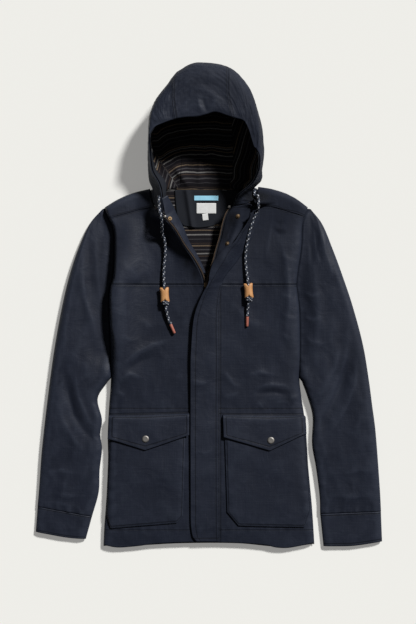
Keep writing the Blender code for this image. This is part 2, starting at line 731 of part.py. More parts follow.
# how far the channel's facing and the lining lean in from the left rim, by s and by c
LEAN = curve((0, 0), (.5, 10), (1, 15), (2, 21), (3, 10), (4, 3), (5, 0))
LEAN_ACROSS = curve((0, 0), (.5, .6), (1, 1), (1.35, .9), (1.65, .45), (2, 0))


def leaned(rows, columns, inward):
    grid = hood_grid(rows, columns, inward)
    for s, row in zip(rows, grid):
        for c, point in zip(columns, row):
            point.x += LEAN(s) * LEAN_ACROSS(c)
    return grid


def hood_inside():
    inward = HOOD_CLOTH + GAP + FOLD_ROOM
    rows = (.07, .5, 1, 2, 3, 4, 5, 6, 6.5, 7, 7.5, 8, 9, BRIM_CHANNEL - .03)
    columns = {
        "hood_lining_l": (1.05, 1.15, 1.35, 1.65, 2 - SEAM_C),
        "hood_lining_centre": (2 + SEAM_C, 2.3, 2.7, 3 - SEAM_C),
        "hood_lining_r": (3.03, 3.35, 3.65, 3.85, 3.98),
    }
    for name, across in columns.items():
        sheet(name, "striped_lining", leaned(rows, across, inward + LINING_ROOM), LINING,
              inner=True)
    rows = (*rows[:-1], BRIM_CHANNEL + .02, 9.7, LAST)
    across = (0, .22, .6, .98, 1.15, 1.35, 1.65, 2, 2.3, 2.7, 3, 3.35, 3.65, 3.85, 4.02,
              4.4, 4.78, 5)
    sheet("hood_channel", "navy_facing", leaned(rows, across, inward), FACING,
          inner=True, skip=lambda i, j: i < len(rows) - 3 and 2 < j < len(across) - 4)


# ------------------------------------------------------- inside of the neck and labels

LINING_TOP = CLOTH + GAP + LINING
FACING_TOP = LINING_TOP + GAP + FACING


def back_lining():
    left = path((-206, -482), (-198, -300), (-192, -150), (-194, 0), (-194, 90),
                (-197, 180))
    right = path((206, -482), (192, -300), (177, -150), (176, 0), (172, 60), (182, 180))
    top = path((-197, 180), (-168, 212), (-128, 228), (-100, 241), (-12, 241), (86, 241),
               (110, 228), (150, 212), (182, 180))
    flat = patch(path((-206, -482), (206, -482)), top, left, right)
    grid = [[flat(u, v).xy.to_3d() + Vector((0, 0, LINING_TOP)) for u in
             (0, .12, .22, .31, .5, .7, .8, .9, 1)]
            for v in (0, .35, .7, .85, 1)]
    sheet("back_lining", "striped_lining", grid, LINING)


def neck_facing():
    """Half-moon of navy cloth below the neck seam, inside the back."""
    left = path((-52, 168), (-64, 182), (-69, 206), (-72, 239.5))
    right = path((8, 168), (34, 182), (56, 206), (66, 239.5))
    flat = patch(path((-52, 168), (-22, 164), (8, 168)), path((-72, 239.5), (66, 239.5)),
                 left, right)
    grid = [[flat(u, v).xy.to_3d() + Vector((0, 0, FACING_TOP))
             for u in (0, .25, .5, .75, 1)] for v in (0, .25, .5, .75, 1)]
    sheet("neck_facing", "navy_facing", grid, FACING)


ZIP_OUT = 5.0          # how far each zip tape shows past its front
ZIP_WALL = 1.6
ZIP_SPAN = {"l": (50, 181), "r": (50, 203)}     # open zip, from the slider to its top


def open_edge(half, t):
    """Point on a front's open edge, its height and the direction away from the cloth."""
    low, high = ZIP_SPAN[half]
    line = line_of(EDGE[half], low, high, 10)
    p = line(t)
    along = (line(min(t + .02, 1)) - line(max(t - .02, 0))).normalized()
    return p, front_height(half, p.x, p.y), Vector((along.y, -along.x, 0)) * -SIGN[half]


def front_facing():
    """Turned-in edge of the left front, seen where it stands open."""
    width = curve((0, 9), (.25, 12), (.5, 15), (.75, 20), (.9, 25), (1, 31))
    drop = curve((0, 2), (.5, 10), (1, 18))
    grid = []
    for t in (.1, .2, .3, .4, .5, .6, .7, .8, .9, 1):
        p, top, out = open_edge("l", t)
        row = []
        for share, fall in ((0, 0), (.5, .4), (1, 1)):
            reach = ZIP_OUT + 1.4
            q = p + out * (reach + share * (width(t) - reach))
            row.append(Vector((q.x, q.y, top - .6 - drop(t) * fall)))
        grid.append(row)
    sheet("facing_l", "waxed_cotton", grid, FACING)


def zip_half(half):
    """Open tape and teeth of one side, along the front's free edge."""
    grid = []
    for i in range(11):
        p, top, out = open_edge(half, i / 10)
        near, far = p + out * 1.2, p + out * ZIP_OUT
        grid.append([Vector((near.x, near.y, top + .1)), Vector((far.x, far.y, top + .1))])
    sheet("zip_" + half, "brass", grid, ZIP_WALL, inner=SIGN[half] > 0)


def zip_closed():
    grid = []
    for y in (-470, -300, -214, -100, 0, 38):
        left, right = EDGE["l"](y) + .4, EDGE["r"](y) - .4
        grid.append([Vector((left, y, front_height("l", left - .4, y))),
                     Vector((right, y, front_height("r", right + .4, y)))])
    sheet("zip_closed", "brass", grid, ZIP_WALL)


# ------------------------------------------------------------- tapes, labels and snaps

def flat_tag(name, kind, centre, size, turn=0.0):
    bpy.ops.mesh.primitive_cube_add(size=1, location=place(centre),
                                    rotation=(0, 0, turn))
    obj = bpy.context.object
    obj.name = obj.data.name = name
    obj.scale = Vector(size) * MM
    bpy.ops.object.transform_apply(location=False, rotation=False, scale=True)
    for owner in obj.users_collection:
        owner.objects.unlink(obj)
    collection.objects.link(obj)
    finish(obj, kind)
    return obj


def turned(name, kind, point, normal, profile, sides=16):
    """Turned piece: (radius, height) points from its rim down, standing on point."""
    bm = bmesh.new()
    verts = [bm.verts.new((r * MM, 0, z * MM)) for r, z in profile]
    for a, b in zip(verts, verts[1:]):
        bm.edges.new((a, b))
    mesh = bpy.data.meshes.new(name)
    bm.to_mesh(mesh)
    bm.free()
    obj = bpy.data.objects.new(name, mesh)
    obj.location = place(point)
    obj.rotation_euler = Vector(normal).to_track_quat("Z", "X").to_euler()
    collection.objects.link(obj)
    spin = obj.modifiers.new("turn", "SCREW")
    spin.steps = spin.render_steps = sides
    spin.use_merge_vertices = True
    spin.merge_threshold = 0.00001
    finish(obj, kind)
    return obj


SNAP_PROFILE = ((0, 2.6), (4.6, 2.3), (7.2, 1.2), (7.4, 0), (0, 0))
STUD_PROFILE = ((0, 1.6), (3.2, 1.9), (4.6, 1.0), (4.6, 0), (0, 0))


def front_normal(half, x, y):
    return on_front(half, x, y, 1.0) - on_front(half, x, y, 0.0)


def fasteners():
    for half, x, y in (("l", -132, -277), ("r", 129, -280)):
        point = on_front(half, x, y, FLAP_LIFT + GAP)
        turned("snap_" + half, "pewter", point, front_normal(half, x, y), SNAP_PROFILE)
    for name, x, y in (("stud_r_upper", 60, 186), ("stud_r_lower", 38, 130)):
        point = on_front("r", x, y, GAP + .3)
        turned(name, "brass", point, front_normal("r", x, y), STUD_PROFILE, 12)
    turned("stud_l", "brass", Vector((-80.2, 180.0, 55.5)), Vector((.35, .3, 1)),
           STUD_PROFILE, 12)
    flat_tag("zip_slider", "brass", (-6, 43.5, front_height("l", -11, 43) + 1.2),
             (8.0, 10.0, 1.6))


def labels():
    top = FACING_TOP + GAP
    flat_tag("loop_tape", "blue_tape", (-6, 226, top + .4), (51, 10, .8))
    flat_tag("neck_label", "white_label", (-5.5, 204.5, top + .3), (41, 22, .6))
    flat_tag("size_tab", "white_label", (-7.5, 185.3, top + .3), (12, 15, .6), .05)


# -------------------------------------------------------------------------- drawcords

CORD = 7.0             # diameter
CORD_LIFT = CORD / 2 + 0.8
CORD_EXIT = {   # where each end comes out of the hood's channel: (s, c, lift)
    "l": ((.95, .25, 4.2), (.65, .20, 4.2), (.35, .15, 4.4)),
    "r": ((.95, 3.72, 4.2), (.6, 3.74, 4.2), (.3, 3.76, 5.0)),
}
# route of each cord end on the fronts: (x, y, extra lift)
CORD_ROUTE = {
    "l": ((-97, 184, 4.0), (-92, 170, 3.6), (-90, 155, 6), (-89, 138, 6), (-91, 112, 2.4),
          (-93.6, 84, .4), (-94.4, 62, 1.2), (-93.4, 42, 3.2), (-92.2, 24, 3.4),
          (-91, 8, 3.4), (-89, -8, 2.8), (-85, -26, 1.2), (-80, -38, 1.0)),
    "r": ((100.5, 222, 4.0), (99.5, 212, 3.6), (96, 197, 2.6), (91, 184, .6),
          (87, 170, 0), (83, 156, 0), (80, 140, 0), (77, 118, 0), (76, 98, 0),
          (77.4, 78, .4), (79.8, 60, 2.0), (81.6, 42, 3.4), (83, 24, 3.4),
          (82.8, 8, 3.2), (80.5, -8, 1.4), (80, -22, .5)),
}


def cloth_under(half, x, y):
    """How far the highest cloth at a place stands above the front."""
    if half == "r" and y < FLAP_TOP and x < FLAP_SEWN(y) + 4:
        return flap_lift(x, y)
    return 0.0


def cord_points(half):
    exit_points = [hood_point(s, c) + hood_normal(s, c) * lift
                   for s, c, lift in CORD_EXIT[half]]
    return exit_points + [
        on_front(half, x, y, CORD_LIFT + extra + cloth_under(half, x, y))
        for x, y, extra in CORD_ROUTE[half]]


def cord(half):
    line = path(*[tuple(p) for p in cord_points(half)])
    count = 24
    data = bpy.data.curves.new("cord_" + half, "CURVE")
    data.dimensions = "3D"
    data.bevel_depth = CORD / 2 * MM
    data.bevel_resolution = 2
    data.use_fill_caps = True
    spline = data.splines.new("POLY")
    spline.points.add(count)
    for i in range(count + 1):
        spline.points[i].co = (*place(line(i / count)), 1)
    obj = bpy.data.objects.new("cord_" + half, data)
    collection.objects.link(obj)
    finish(obj, "cord")
    return line


def frame_on(line, t):
    """Point of a cord and its direction."""
    return line(t), (line(min(t + .02, 1)) - line(max(t - .02, 0))).normalized()


TOGGLE = (19.5, 32.0, 11.0)        # width, length, thickness over the cord
TOGGLE_NOTCH = 5.5


def toggle(half, line, share):
    """Leather tab round the cord, with a notch cut in each end."""
    width, length, thick = TOGGLE
    data = bpy.data.curves.new("toggle_" + half, "CURVE")
    data.dimensions = "2D"
    data.fill_mode = "BOTH"
    data.extrude = thick / 2 * MM
    spline = data.splines.new("POLY")
    w, h, n = width / 2, length / 2, TOGGLE_NOTCH
    outline = ((-w, -h), (-n, -h), (0, -h + n), (n, -h), (w, -h),
               (w, h), (n, h), (0, h - n), (-n, h), (-w, h))
    spline.points.add(len(outline) - 1)
    for point, (x, y) in zip(spline.points, outline):
        point.co = (x * MM, y * MM, 0, 1)
    spline.use_cyclic_u = True
    blank = bpy.data.objects.new("toggle_blank", data)
    collection.objects.link(blank)
    bpy.context.view_layer.update()
    graph = bpy.context.evaluated_depsgraph_get()
    mesh = bpy.data.meshes.new_from_object(blank.evaluated_get(graph))
    bpy.data.objects.remove(blank, do_unlink=True)
    bm = bmesh.new()
    bm.from_mesh(mesh)
    bmesh.ops.remove_doubles(bm, verts=bm.verts, dist=1e-6)
    bm.to_mesh(mesh)
    bm.free()
    mesh.name = "toggle_" + half
    obj = bpy.data.objects.new("toggle_" + half, mesh)
    collection.objects.link(obj)
    point, along = frame_on(line, share)
    turn = along.to_track_quat("-Y", "Z").to_euler()
    bpy.ops.mesh.primitive_cylinder_add(vertices=16, radius=(CORD / 2 + .8) * MM,
                                        depth=length * 1.5 * MM)
    bore = bpy.context.object
    bore.name = "toggle_bore_" + half
    for owner in bore.users_collection:
        owner.objects.unlink(bore)
    cutters.objects.link(bore)
    bore.hide_render = True
    bore.display_type = "WIRE"
    bore.location = place(point)
    bore.rotation_euler = along.to_track_quat("Z", "X").to_euler()
    obj.location = place(point)
    obj.rotation_euler = turn
    cut = obj.modifiers.new("bore", "BOOLEAN")
    cut.operation = "DIFFERENCE"
    cut.object = bore
    finish(obj, "leather")


KNOT_CORD = 1.6        # half the cord's width where the knot flattens it


def knot(half, line, share):
    """Overhand knot below the toggle, as a ring of cord round the cord."""
    point, along = frame_on(line, share)
    bpy.ops.mesh.primitive_torus_add(
        major_radius=(CORD / 2 + .5 + KNOT_CORD) * MM, minor_radius=KNOT_CORD * MM,
        major_segments=14, minor_segments=8, location=place(point),
        rotation=along.to_track_quat("Z", "X").to_euler())
    obj = bpy.context.object
    obj.name = obj.data.name = "knot_" + half
    for owner in obj.users_collection:
        owner.objects.unlink(obj)
    collection.objects.link(obj)
    finish(obj, "cord")


TIP = (3.3, 21.0)      # radius and length of the dipped tip


def tip(half, line):
    point, along = frame_on(line, 1.0)
    radius, length = TIP
    profile = ((0, length), (radius * .8, length), (radius, length - 1.2), (radius, 0),
               (0, 0))
    turned("tip_" + half, "cord_tip", point + along * GAP, along, profile, 12)


# ------------------------------------------------------------------------------ build

back()
back_lining()
neck_facing()
for side in ("l", "r"):
    lower_front(side)
    upper_front(side)
    yoke(side)
    sleeve_under(side)
    sleeve_top(side)
    cuff(side)
    pocket(side)
    pocket_flap(side)
    zip_half(side)
front_facing()
zip_closed()
storm_flap()
hood()
hood_inside()
labels()
fasteners()
for side, toggle_at, knot_at in (("l", .771, .8375), ("r", .8055, .8735)):
    route = cord(side)
    toggle(side, route, toggle_at)
    knot(side, route, knot_at)
    tip(side, route)
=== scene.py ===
import math
from contextlib import contextmanager

import bmesh
import bpy
import numpy as np
from mathutils import Matrix, Vector
from mathutils.bvhtree import BVHTree


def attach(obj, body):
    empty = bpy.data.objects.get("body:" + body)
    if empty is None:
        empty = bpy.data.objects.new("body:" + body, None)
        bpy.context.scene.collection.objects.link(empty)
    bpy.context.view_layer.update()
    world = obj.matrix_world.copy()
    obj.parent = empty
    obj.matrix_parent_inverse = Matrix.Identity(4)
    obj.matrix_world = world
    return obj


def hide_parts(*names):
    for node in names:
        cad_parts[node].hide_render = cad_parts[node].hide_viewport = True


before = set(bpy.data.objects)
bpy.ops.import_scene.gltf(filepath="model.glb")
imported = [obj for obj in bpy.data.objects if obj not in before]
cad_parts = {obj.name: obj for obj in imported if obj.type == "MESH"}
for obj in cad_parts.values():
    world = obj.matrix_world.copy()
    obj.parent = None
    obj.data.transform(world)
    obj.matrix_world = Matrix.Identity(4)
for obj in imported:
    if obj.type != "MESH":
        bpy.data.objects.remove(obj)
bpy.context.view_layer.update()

MM = 0.001

# ------------------------------------------------------------------- table, light, camera
# The jacket lies on a pale matt table that glows a little, as a light table does. One
# lamp stands on the right beyond the hood, and the room gives hardly any light of its
# own. The camera looks straight down from three metres.
CAMERA_HEIGHT = 3.0
CAMERA_PLACE = (-0.0019, -0.0096)
SENSOR = 36.0                          # millimetres, from the frame's top to its bottom
FRAME_HEIGHT = 1.3104                  # metres of table in the same height
LAMP_STRENGTH, LAMP_WIDTH = 4.60, 8.0  # the width in degrees
LAMP_TOWARDS = (0.79, 0.96, 1.00)
ROOM_COLOUR, ROOM_STRENGTH = (0.985, 0.992, 1.0), 0.075
TABLE_HALF, TABLE_LEVEL = 6.0, -0.0003
TABLE_COLOUR, GLOW_COLOUR, TABLE_GLOW = (0.617, 0.613, 0.580), (1.0, 0.985, 0.955), 0.245

scene = bpy.context.scene
scene.view_settings.view_transform = "Standard"

lens = bpy.data.cameras.new("camera")
lens.sensor_fit = "VERTICAL"
lens.sensor_height = SENSOR
lens.lens = SENSOR * CAMERA_HEIGHT / FRAME_HEIGHT
camera = bpy.data.objects.new("camera", lens)
camera.location = (*CAMERA_PLACE, CAMERA_HEIGHT)
scene.collection.objects.link(camera)
scene.camera = camera

lamp = bpy.data.lights.new("lamp", "SUN")
lamp.energy = LAMP_STRENGTH
lamp.angle = math.radians(LAMP_WIDTH)
stand = bpy.data.objects.new("lamp", lamp)
stand.rotation_euler = Vector(LAMP_TOWARDS).to_track_quat("Z", "Y").to_euler()
scene.collection.objects.link(stand)

room = bpy.data.worlds.new("room")
room.use_nodes = True
background = room.node_tree.nodes["Background"].inputs
background["Color"].default_value = (*ROOM_COLOUR, 1.0)
background["Strength"].default_value = ROOM_STRENGTH
scene.world = room


class Tone:
    """A number or colour that changes over a surface, with ordinary arithmetic on it."""

    def __init__(self, finish, socket):
        self.finish, self.socket = finish, socket

    def maths(self, operation, *others):
        node = self.finish.node("ShaderNodeMath", {"operation": operation},
                                dict(enumerate((self, *others))))
        return Tone(self.finish, node.outputs[0])

    def __add__(self, other):
        return self.maths("ADD", other)

    def __mul__(self, other):
        return self.maths("MULTIPLY", other)

    def __sub__(self, other):
        return self.maths("SUBTRACT", other)

    def __rsub__(self, other):
        return self * -1.0 + other

    def __abs__(self):
        return self.maths("ABSOLUTE")

    __radd__, __rmul__ = __add__, __mul__

    def within(self, low=0.0, high=1.0):
        return self.maths("MAXIMUM", low).maths("MINIMUM", high)


class Finish:
    """A material: fixed values go on the shader's own sockets, patterns through nodes."""

    def __init__(self, name, colour, **values):
        self.material = bpy.data.materials.new(name)
        self.material.use_nodes = True
        self.tree = self.material.node_tree
        self.shader = self.tree.nodes["Principled BSDF"]
        self.shader.inputs["Base Color"].default_value = (*colour, 1.0)
        for socket, value in values.items():
            self.shader.inputs[socket.replace("_", " ")].default_value = value

    def node(self, kind, settings, values):
        node = self.tree.nodes.new(kind)
        for key, value in settings.items():
            if key == "stops":
                self.set_stops(node.color_ramp, value)
            else:
                setattr(node, key, value)
        for key, value in values.items():
            value = getattr(value, "socket", value)
            if isinstance(value, bpy.types.NodeSocket):
                self.tree.links.new(value, node.inputs[key])
            else:
                node.inputs[key].default_value = value
        return node

    def set_stops(self, ramp, stops):
        while len(ramp.elements) < len(stops):
            ramp.elements.new(0.5)
        for element, (place, colour) in zip(ramp.elements, sorted(stops)):
            element.position = place
            element.color = (*colour, 1.0)

    def place(self, stretch=(1, 1, 1), turn=0.0):
        """Object coordinates, stretched and turned about Z."""
        where = self.node("ShaderNodeTexCoord", {}, {})
        turned = self.node("ShaderNodeMapping", {}, {
            "Vector": where.outputs["Object"], "Rotation": (0, 0, turn), "Scale": stretch})
        return turned.outputs["Vector"]

    def measure(self, name):
        """A number that the mesh carries at each point."""
        node = self.node("ShaderNodeAttribute", {"attribute_name": name}, {})
        return Tone(self, node.outputs["Fac"])

    def noise(self, where, scale, detail=3.0, rough=0.5, bend=0.0):
        node = self.node("ShaderNodeTexNoise", {}, {
            "Vector": where, "Scale": scale, "Detail": detail, "Roughness": rough,
            "Distortion": bend})
        return Tone(self, node.outputs["Fac"])

    def mix(self, amount, below, above):
        """One colour or Tone with another over it, by amount."""
        below, above = ((*tone, 1.0) if isinstance(tone, tuple) else tone
                        for tone in (below, above))
        node = self.node("ShaderNodeMix", {"data_type": "RGBA"},
                         {0: amount, 6: below, 7: above})
        return Tone(self, node.outputs[2])

    def bump(self, *layers):
        """Reliefs over each other: (height, depth in metres)."""
        normal = None
        for height, depth in layers:
            values = {"Height": height, "Distance": depth, "Strength": 1.0}
            if normal:
                values["Normal"] = normal
            normal = self.node("ShaderNodeBump", {}, values).outputs["Normal"]
        self.show("Normal", normal)

    def show(self, socket, value):
        self.tree.links.new(getattr(value, "socket", value), self.shader.inputs[socket])


def link_mesh(name, mesh, finish):
    obj = bpy.data.objects.new(name, mesh)
    scene.collection.objects.link(obj)
    mesh.materials.clear()
    mesh.materials.append(finish.material)
    return obj


table_top = Finish("table", TABLE_COLOUR, Roughness=0.9, Specular_IOR_Level=0.1,
                   Emission_Color=(*GLOW_COLOUR, 1.0), Emission_Strength=TABLE_GLOW)
table_mesh = bpy.data.meshes.new("table")
table_mesh.from_pydata([(x * TABLE_HALF, y * TABLE_HALF, TABLE_LEVEL)
                        for x, y in ((-1, -1), (1, -1), (1, 1), (-1, 1))],
                       [], [(0, 1, 2, 3)])
link_mesh("table", table_mesh, table_top)

# ------------------------------------------------------------------------------ drawcords
# A braided cotton cord runs in the hood's channel and comes out on each side of the neck.
# Its ends lie down the fronts, through a leather toggle, and finish in a dipped tip.
CORD = 6.2
BRAID_STRANDS = 6                      # in each direction
BRAID_TURN = 24.0                      # length in which a strand goes once round
CORD_NAVY, CORD_BLACK = (0.016, 0.028, 0.056), (0.005, 0.006, 0.009)
CORD_FLECK = (0.520, 0.530, 0.560)
CORD_WAY = {   # row frame, millimetres, from the hood down
    "l": ((-103.7, 229.7, 54.8), (-102.9, 218.6, 55.8), (-102.6, 205.9, 56.5),
          (-98.6, 187.3, 64.2), (-96.8, 167.7, 50.7), (-96.6, 152.8, 35.6),
          (-92.3, 139.3, 29.7), (-91.0, 115.1, 26.8), (-93.6, 87.0, 24.9),
          (-94.4, 65.0, 25.6), (-93.4, 45.0, 27.5), (-92.2, 27.0, 27.6),
          (-91.0, 11.0, 27.5), (-89.0, -5.0, 26.8), (-85.0, -23.0, 25.1),
          (-80.0, -35.0, 24.8)),
    "r": ((95.3, 243.9, 29.0), (94.3, 238.7, 31.9), (95.2, 233.2, 35.0),
          (101.7, 230.6, 37.7), (102.2, 208.5, 40.6), (99.8, 198.2, 31.6),
          (93.9, 186.1, 30.8), (89.3, 172.7, 30.0), (85.0, 158.8, 29.5),
          (81.3, 142.8, 28.4), (77.3, 121.0, 26.8), (76.0, 101.0, 24.5),
          (77.4, 81.0, 24.9), (79.8, 63.0, 26.4), (81.6, 45.0, 27.7), (83.0, 27.0, 27.6),
          (82.8, 11.0, 27.3), (80.5, -5.0, 25.4), (80.0, -19.0, 24.4)),
}


def bend(knots, values):
    """Smooth line through values at its knots, level beyond the ends."""
    p, v = np.array(knots, float), np.array(values, float)
    slope = np.empty_like(v)
    gap = (p[2:] - p[:-2]).reshape((-1,) + (1,) * (v.ndim - 1))
    slope[1:-1] = (v[2:] - v[:-2]) / gap
    slope[0] = (v[1] - v[0]) / (p[1] - p[0])
    slope[-1] = (v[-1] - v[-2]) / (p[-1] - p[-2])

    def at(q):
        q = np.clip(np.asarray(q, float), p[0], p[-1])
        i = np.clip(np.searchsorted(p, q, "right") - 1, 0, len(p) - 2)
        span = p[i + 1] - p[i]
        t = (q - p[i]) / span
        shape = q.shape + (1,) * (v.ndim - 1)
        t, span = t.reshape(shape), span.reshape(shape)
        return (v[i] * (2 * t**3 - 3 * t**2 + 1) + slope[i] * span * (t**3 - 2 * t**2 + t)
                + v[i + 1] * (3 * t**2 - 2 * t**3) + slope[i + 1] * span * (t**3 - t**2))
    return at


def distances(points):
    """How far along a line of points each of them lies."""
    return np.r_[0, np.cumsum(np.linalg.norm(np.diff(points, axis=0), axis=1))]


def walk(points, want):
    """Places at some distances along a line of points."""
    run = distances(points)
    return np.stack([np.interp(want, run, row) for row in points.T], -1)


def path(*points):
    """Smooth line through points, by the share of its length."""
    points = np.array(points, float)
    run = distances(points)
    return bend(run / run[-1], points)


def even(line, step):
    """Points of a line about a step apart."""
    fine = line(np.linspace(0, 1, 1500))
    length = distances(fine)[-1]
    return walk(fine, np.linspace(0, length, max(int(round(length / step)), 2) + 1))


def unit(ways):
    """Directions of length 1."""
    return ways / np.linalg.norm(ways, axis=-1)[..., None]


def round_frames(points):
    """Two directions across a line at each of its points, which don't twist along it."""
    along = unit(np.gradient(points, axis=0))
    across = np.empty_like(along)
    side = np.cross(along[0], (0.0, 0.0, 1.0))
    for i, direction in enumerate(along):
        side = unit(side - direction * side.dot(direction))
        across[i] = side
    return across, np.cross(across, along)


def grid_mesh(name, grid, ring=False):
    """Mesh of a (rows, columns, 3) grid in millimetres of the row frame."""
    rows, columns = grid.shape[:2]
    index = np.arange(rows * columns).reshape(rows, columns)
    right = np.roll(index, -1, axis=1) if ring else index[:, 1:]
    left = index if ring else index[:, :-1]
    faces = np.stack([left[:-1], right[:-1], right[1:], left[1:]], -1).reshape(-1, 4)
    mesh = bpy.data.meshes.new(name)
    mesh.from_pydata((grid.reshape(-1, 3) * MM).tolist(), [], faces.tolist())
    mesh.shade_smooth()
    return mesh


def measure(mesh, name, values):
    """A number for each point of the mesh, for its finish to read."""
    mesh.attributes.new(name, "FLOAT", "POINT").data.foreach_set(
        "value", np.asarray(values, np.float32).ravel())


@contextmanager
def editing(mesh):
    """The mesh, opened for Blender's mesh tools."""
    bm = bmesh.new()
    bm.from_mesh(mesh)
    yield bm
    bm.to_mesh(mesh)
    bm.free()


def braid(name, points, diameter, turn, around=48):
    """Round cord whose strands cross over and under each other, with its yarn colours."""
    run = distances(points)
    across, up = round_frames(points)
    angle = np.linspace(0, 2 * np.pi, around, endpoint=False)
    a = (angle[None] / (2 * np.pi) + run[:, None] / turn) * BRAID_STRANDS
    b = (angle[None] / (2 * np.pi) - run[:, None] / turn) * BRAID_STRANDS
    over = (np.floor(a) + np.floor(b)) % 2 < 1
    crown = np.where(over, np.sin(np.pi * (a % 1)), np.sin(np.pi * (b % 1)))
    radius = diameter / 2 * (0.90 + 0.10 * np.abs(crown) ** .7)
    grid = (points[:, None] + across[:, None] * (radius * np.cos(angle))[..., None]
            + up[:, None] * (radius * np.sin(angle))[..., None])
    mesh = grid_mesh(name, grid, ring=True)
    fleck = over & (np.floor(a) % 3 == 0)
    dark = np.where(over, np.floor(a) % 2 == 1, np.floor(b) % 2 == 0)
    measure(mesh, "yarn", np.where(fleck, 1.0, np.where(dark, 0.0, 0.5)))
    measure(mesh, "crown", np.abs(crown))
    with editing(mesh) as bm:
        bmesh.ops.holes_fill(bm, edges=bm.edges, sides=around + 1)
        bmesh.ops.recalc_face_normals(bm, faces=bm.faces)
    return mesh, run[-1]


braided = Finish("braided cord", CORD_NAVY, Roughness=0.7)
yarn, crown = braided.measure("yarn"), braided.measure("crown")
dyed = braided.mix((yarn * 2).within(), CORD_BLACK, CORD_NAVY)
flecked = braided.mix((yarn * 2 - 1).within(), dyed, CORD_FLECK)
# Painted shade: the colour darkens towards near black in the grooves between the strands,
# where the braid's crown is low.
braided.show("Base Color", braided.mix((1 - crown) * .55, flecked, (0.003, 0.004, 0.006)))
braided.bump((braided.noise(braided.place(), 3200.0, 2.0), 0.00015))

TOGGLE_SIZE = (19.4, 31.6, 10.0)       # width, length, thickness over the cord
TOGGLE_NOTCH = 5.2
TOGGLE_PLACE = {   # middle on the cord, and its direction down the cord
    "l": ((-92.1, 26.1, 27.6), (0.069, -0.998, -0.002)),
    "r": ((82.5, 34.7, 27.7), (0.078, -0.997, -0.013)),
}
LEATHER_TAN, LEATHER_DARK = (0.560, 0.285, 0.110), (0.270, 0.110, 0.040)

leather = Finish("leather", LEATHER_TAN, Roughness=0.55)
hide = leather.noise(leather.place(), 900.0, 5.0, .6)
stain = leather.noise(leather.place((1, .5, 1)), 150.0, 3.0)
rim_darkening = leather.measure("edge")
tan = leather.mix((stain * 2.4 - .9).within(), LEATHER_TAN, (0.440, 0.205, 0.075))
# The leather is darker towards the tab's rounded edges.
tan = leather.mix((rim_darkening * .8).within(), tan, LEATHER_DARK)
leather.show("Base Color", leather.mix((hide * 3 - 1.5).within(0, .35), tan, LEATHER_DARK))
leather.show("Roughness", hide * .3 + .38)
leather.bump((hide, 0.00030))


def laid(mesh, middle, direction, own="Z", top="Y"):
    """The mesh moved to its middle, its own axis turned to point in a direction."""
    turn = Vector(direction).to_track_quat(own, top).to_matrix().to_4x4()
    mesh.transform(Matrix.Translation(Vector(middle) * MM) @ turn)
    return mesh


def toggle(name, middle, direction):
    """Leather tab folded over the cord: two faces, sewn sides, a notch cut in each end."""
    width, length, thick = TOGGLE_SIZE
    w, h, n = width / 2, length / 2, TOGGLE_NOTCH
    right_half = [(0, h - n), (n * .8, h - .6), (n * 1.2, h), (w - 1.5, h), (w, h - 1.5),
                  (w - .9, h * .45), (w - 1.1, 0), (w - .9, -h * .45), (w, -h + 1.5),
                  (w - 1.5, -h), (n * 1.2, -h), (n * .8, -h + .6), (0, -h + n)]
    rim = np.array(right_half + [(-x, y) for x, y in right_half[-2:0:-1]])
    inset, lift = (0, .5, 1.2, 2.4, 4.2, 7.0), (0, .30, .42, .62, .86, 1.0)
    top = np.array([np.c_[rim[:, 0] * (1 - inside / w), rim[:, 1] * (1 - inside / h * .8),
                          np.full(len(rim), up * thick / 2)]
                    for inside, up in zip(inset, lift)])
    shell = np.concatenate([top[::-1] * (1, 1, -1), top[1:]])
    edge = np.concatenate([lift[::-1], lift[1:]])
    mesh = grid_mesh(name, shell, ring=True)
    measure(mesh, "edge", np.repeat((1 - edge) ** 2, len(rim)))
    with editing(mesh) as bm:
        bmesh.ops.holes_fill(bm, edges=bm.edges, sides=len(rim) + 1)
        bmesh.ops.triangulate(bm, faces=[f for f in bm.faces if len(f.verts) > 4])
        bmesh.ops.recalc_face_normals(bm, faces=bm.faces)
    return link_mesh(name, laid(mesh, middle, direction, "-Y", "Z"), leather)


KNOT_PLACE = {   # middle of each knot, just below its toggle's lower notch, and its axis
    "l": ((-90.9, 9.6, 27.6), (0.104, -0.994, -0.030)),
    "r": ((83.1, 17.6, 27.6), (-0.035, -0.999, -0.028)),
}
KNOT_HALF, KNOT_RISE, KNOT_LONG = 5.2, 4.4, 4.0         # of the cord's loop round itself
KNOT_CORD, KNOT_TURN = 5.2, 15.0                        # the cord pulled tight
KNOT_TURNS = np.linspace(-.15, 1.45, 120)
TIP_WIDE, TIP_LONG = 6.4, 21.0
TIP_RED = (0.330, 0.105, 0.072)
TIP_DIRECTION = {"l": (0.408, -0.913, -0.030), "r": (-0.022, -0.998, -0.085)}

dipped = Finish("dipped tip", TIP_RED, Roughness=0.38)
streak = dipped.noise(dipped.place(), 420.0, 3.0)
dipped.show("Base Color", dipped.mix((streak * 2 - .7).within(), TIP_RED,
                                     (0.420, 0.150, 0.110)))
dipped.bump((streak, 0.00025))


def turned(name, finish, middle, axis, profile, sides=32):
    """Turned piece from (radius, height) points, rim to rim, standing on its middle."""
    rings = [[(r * math.cos(2 * math.pi * k / sides), r * math.sin(2 * math.pi * k / sides),
               z) for k in range(sides)] for r, z in profile]
    mesh = grid_mesh(name, np.array(rings), ring=True)
    with editing(mesh) as bm:
        bmesh.ops.remove_doubles(bm, verts=bm.verts, dist=1e-7)
        bmesh.ops.recalc_face_normals(bm, faces=bm.faces)
    return link_mesh(name, laid(mesh, middle, axis), finish)


NAMES = {"l": "left", "r": "right"}
SIGN = {"l": -1, "r": 1}


def belongs(obj, slot, *nodes):
    """The piece lies still with the rest, and stands for these nodes of the frame."""
    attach(obj, "root")
    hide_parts(*nodes)
    return obj


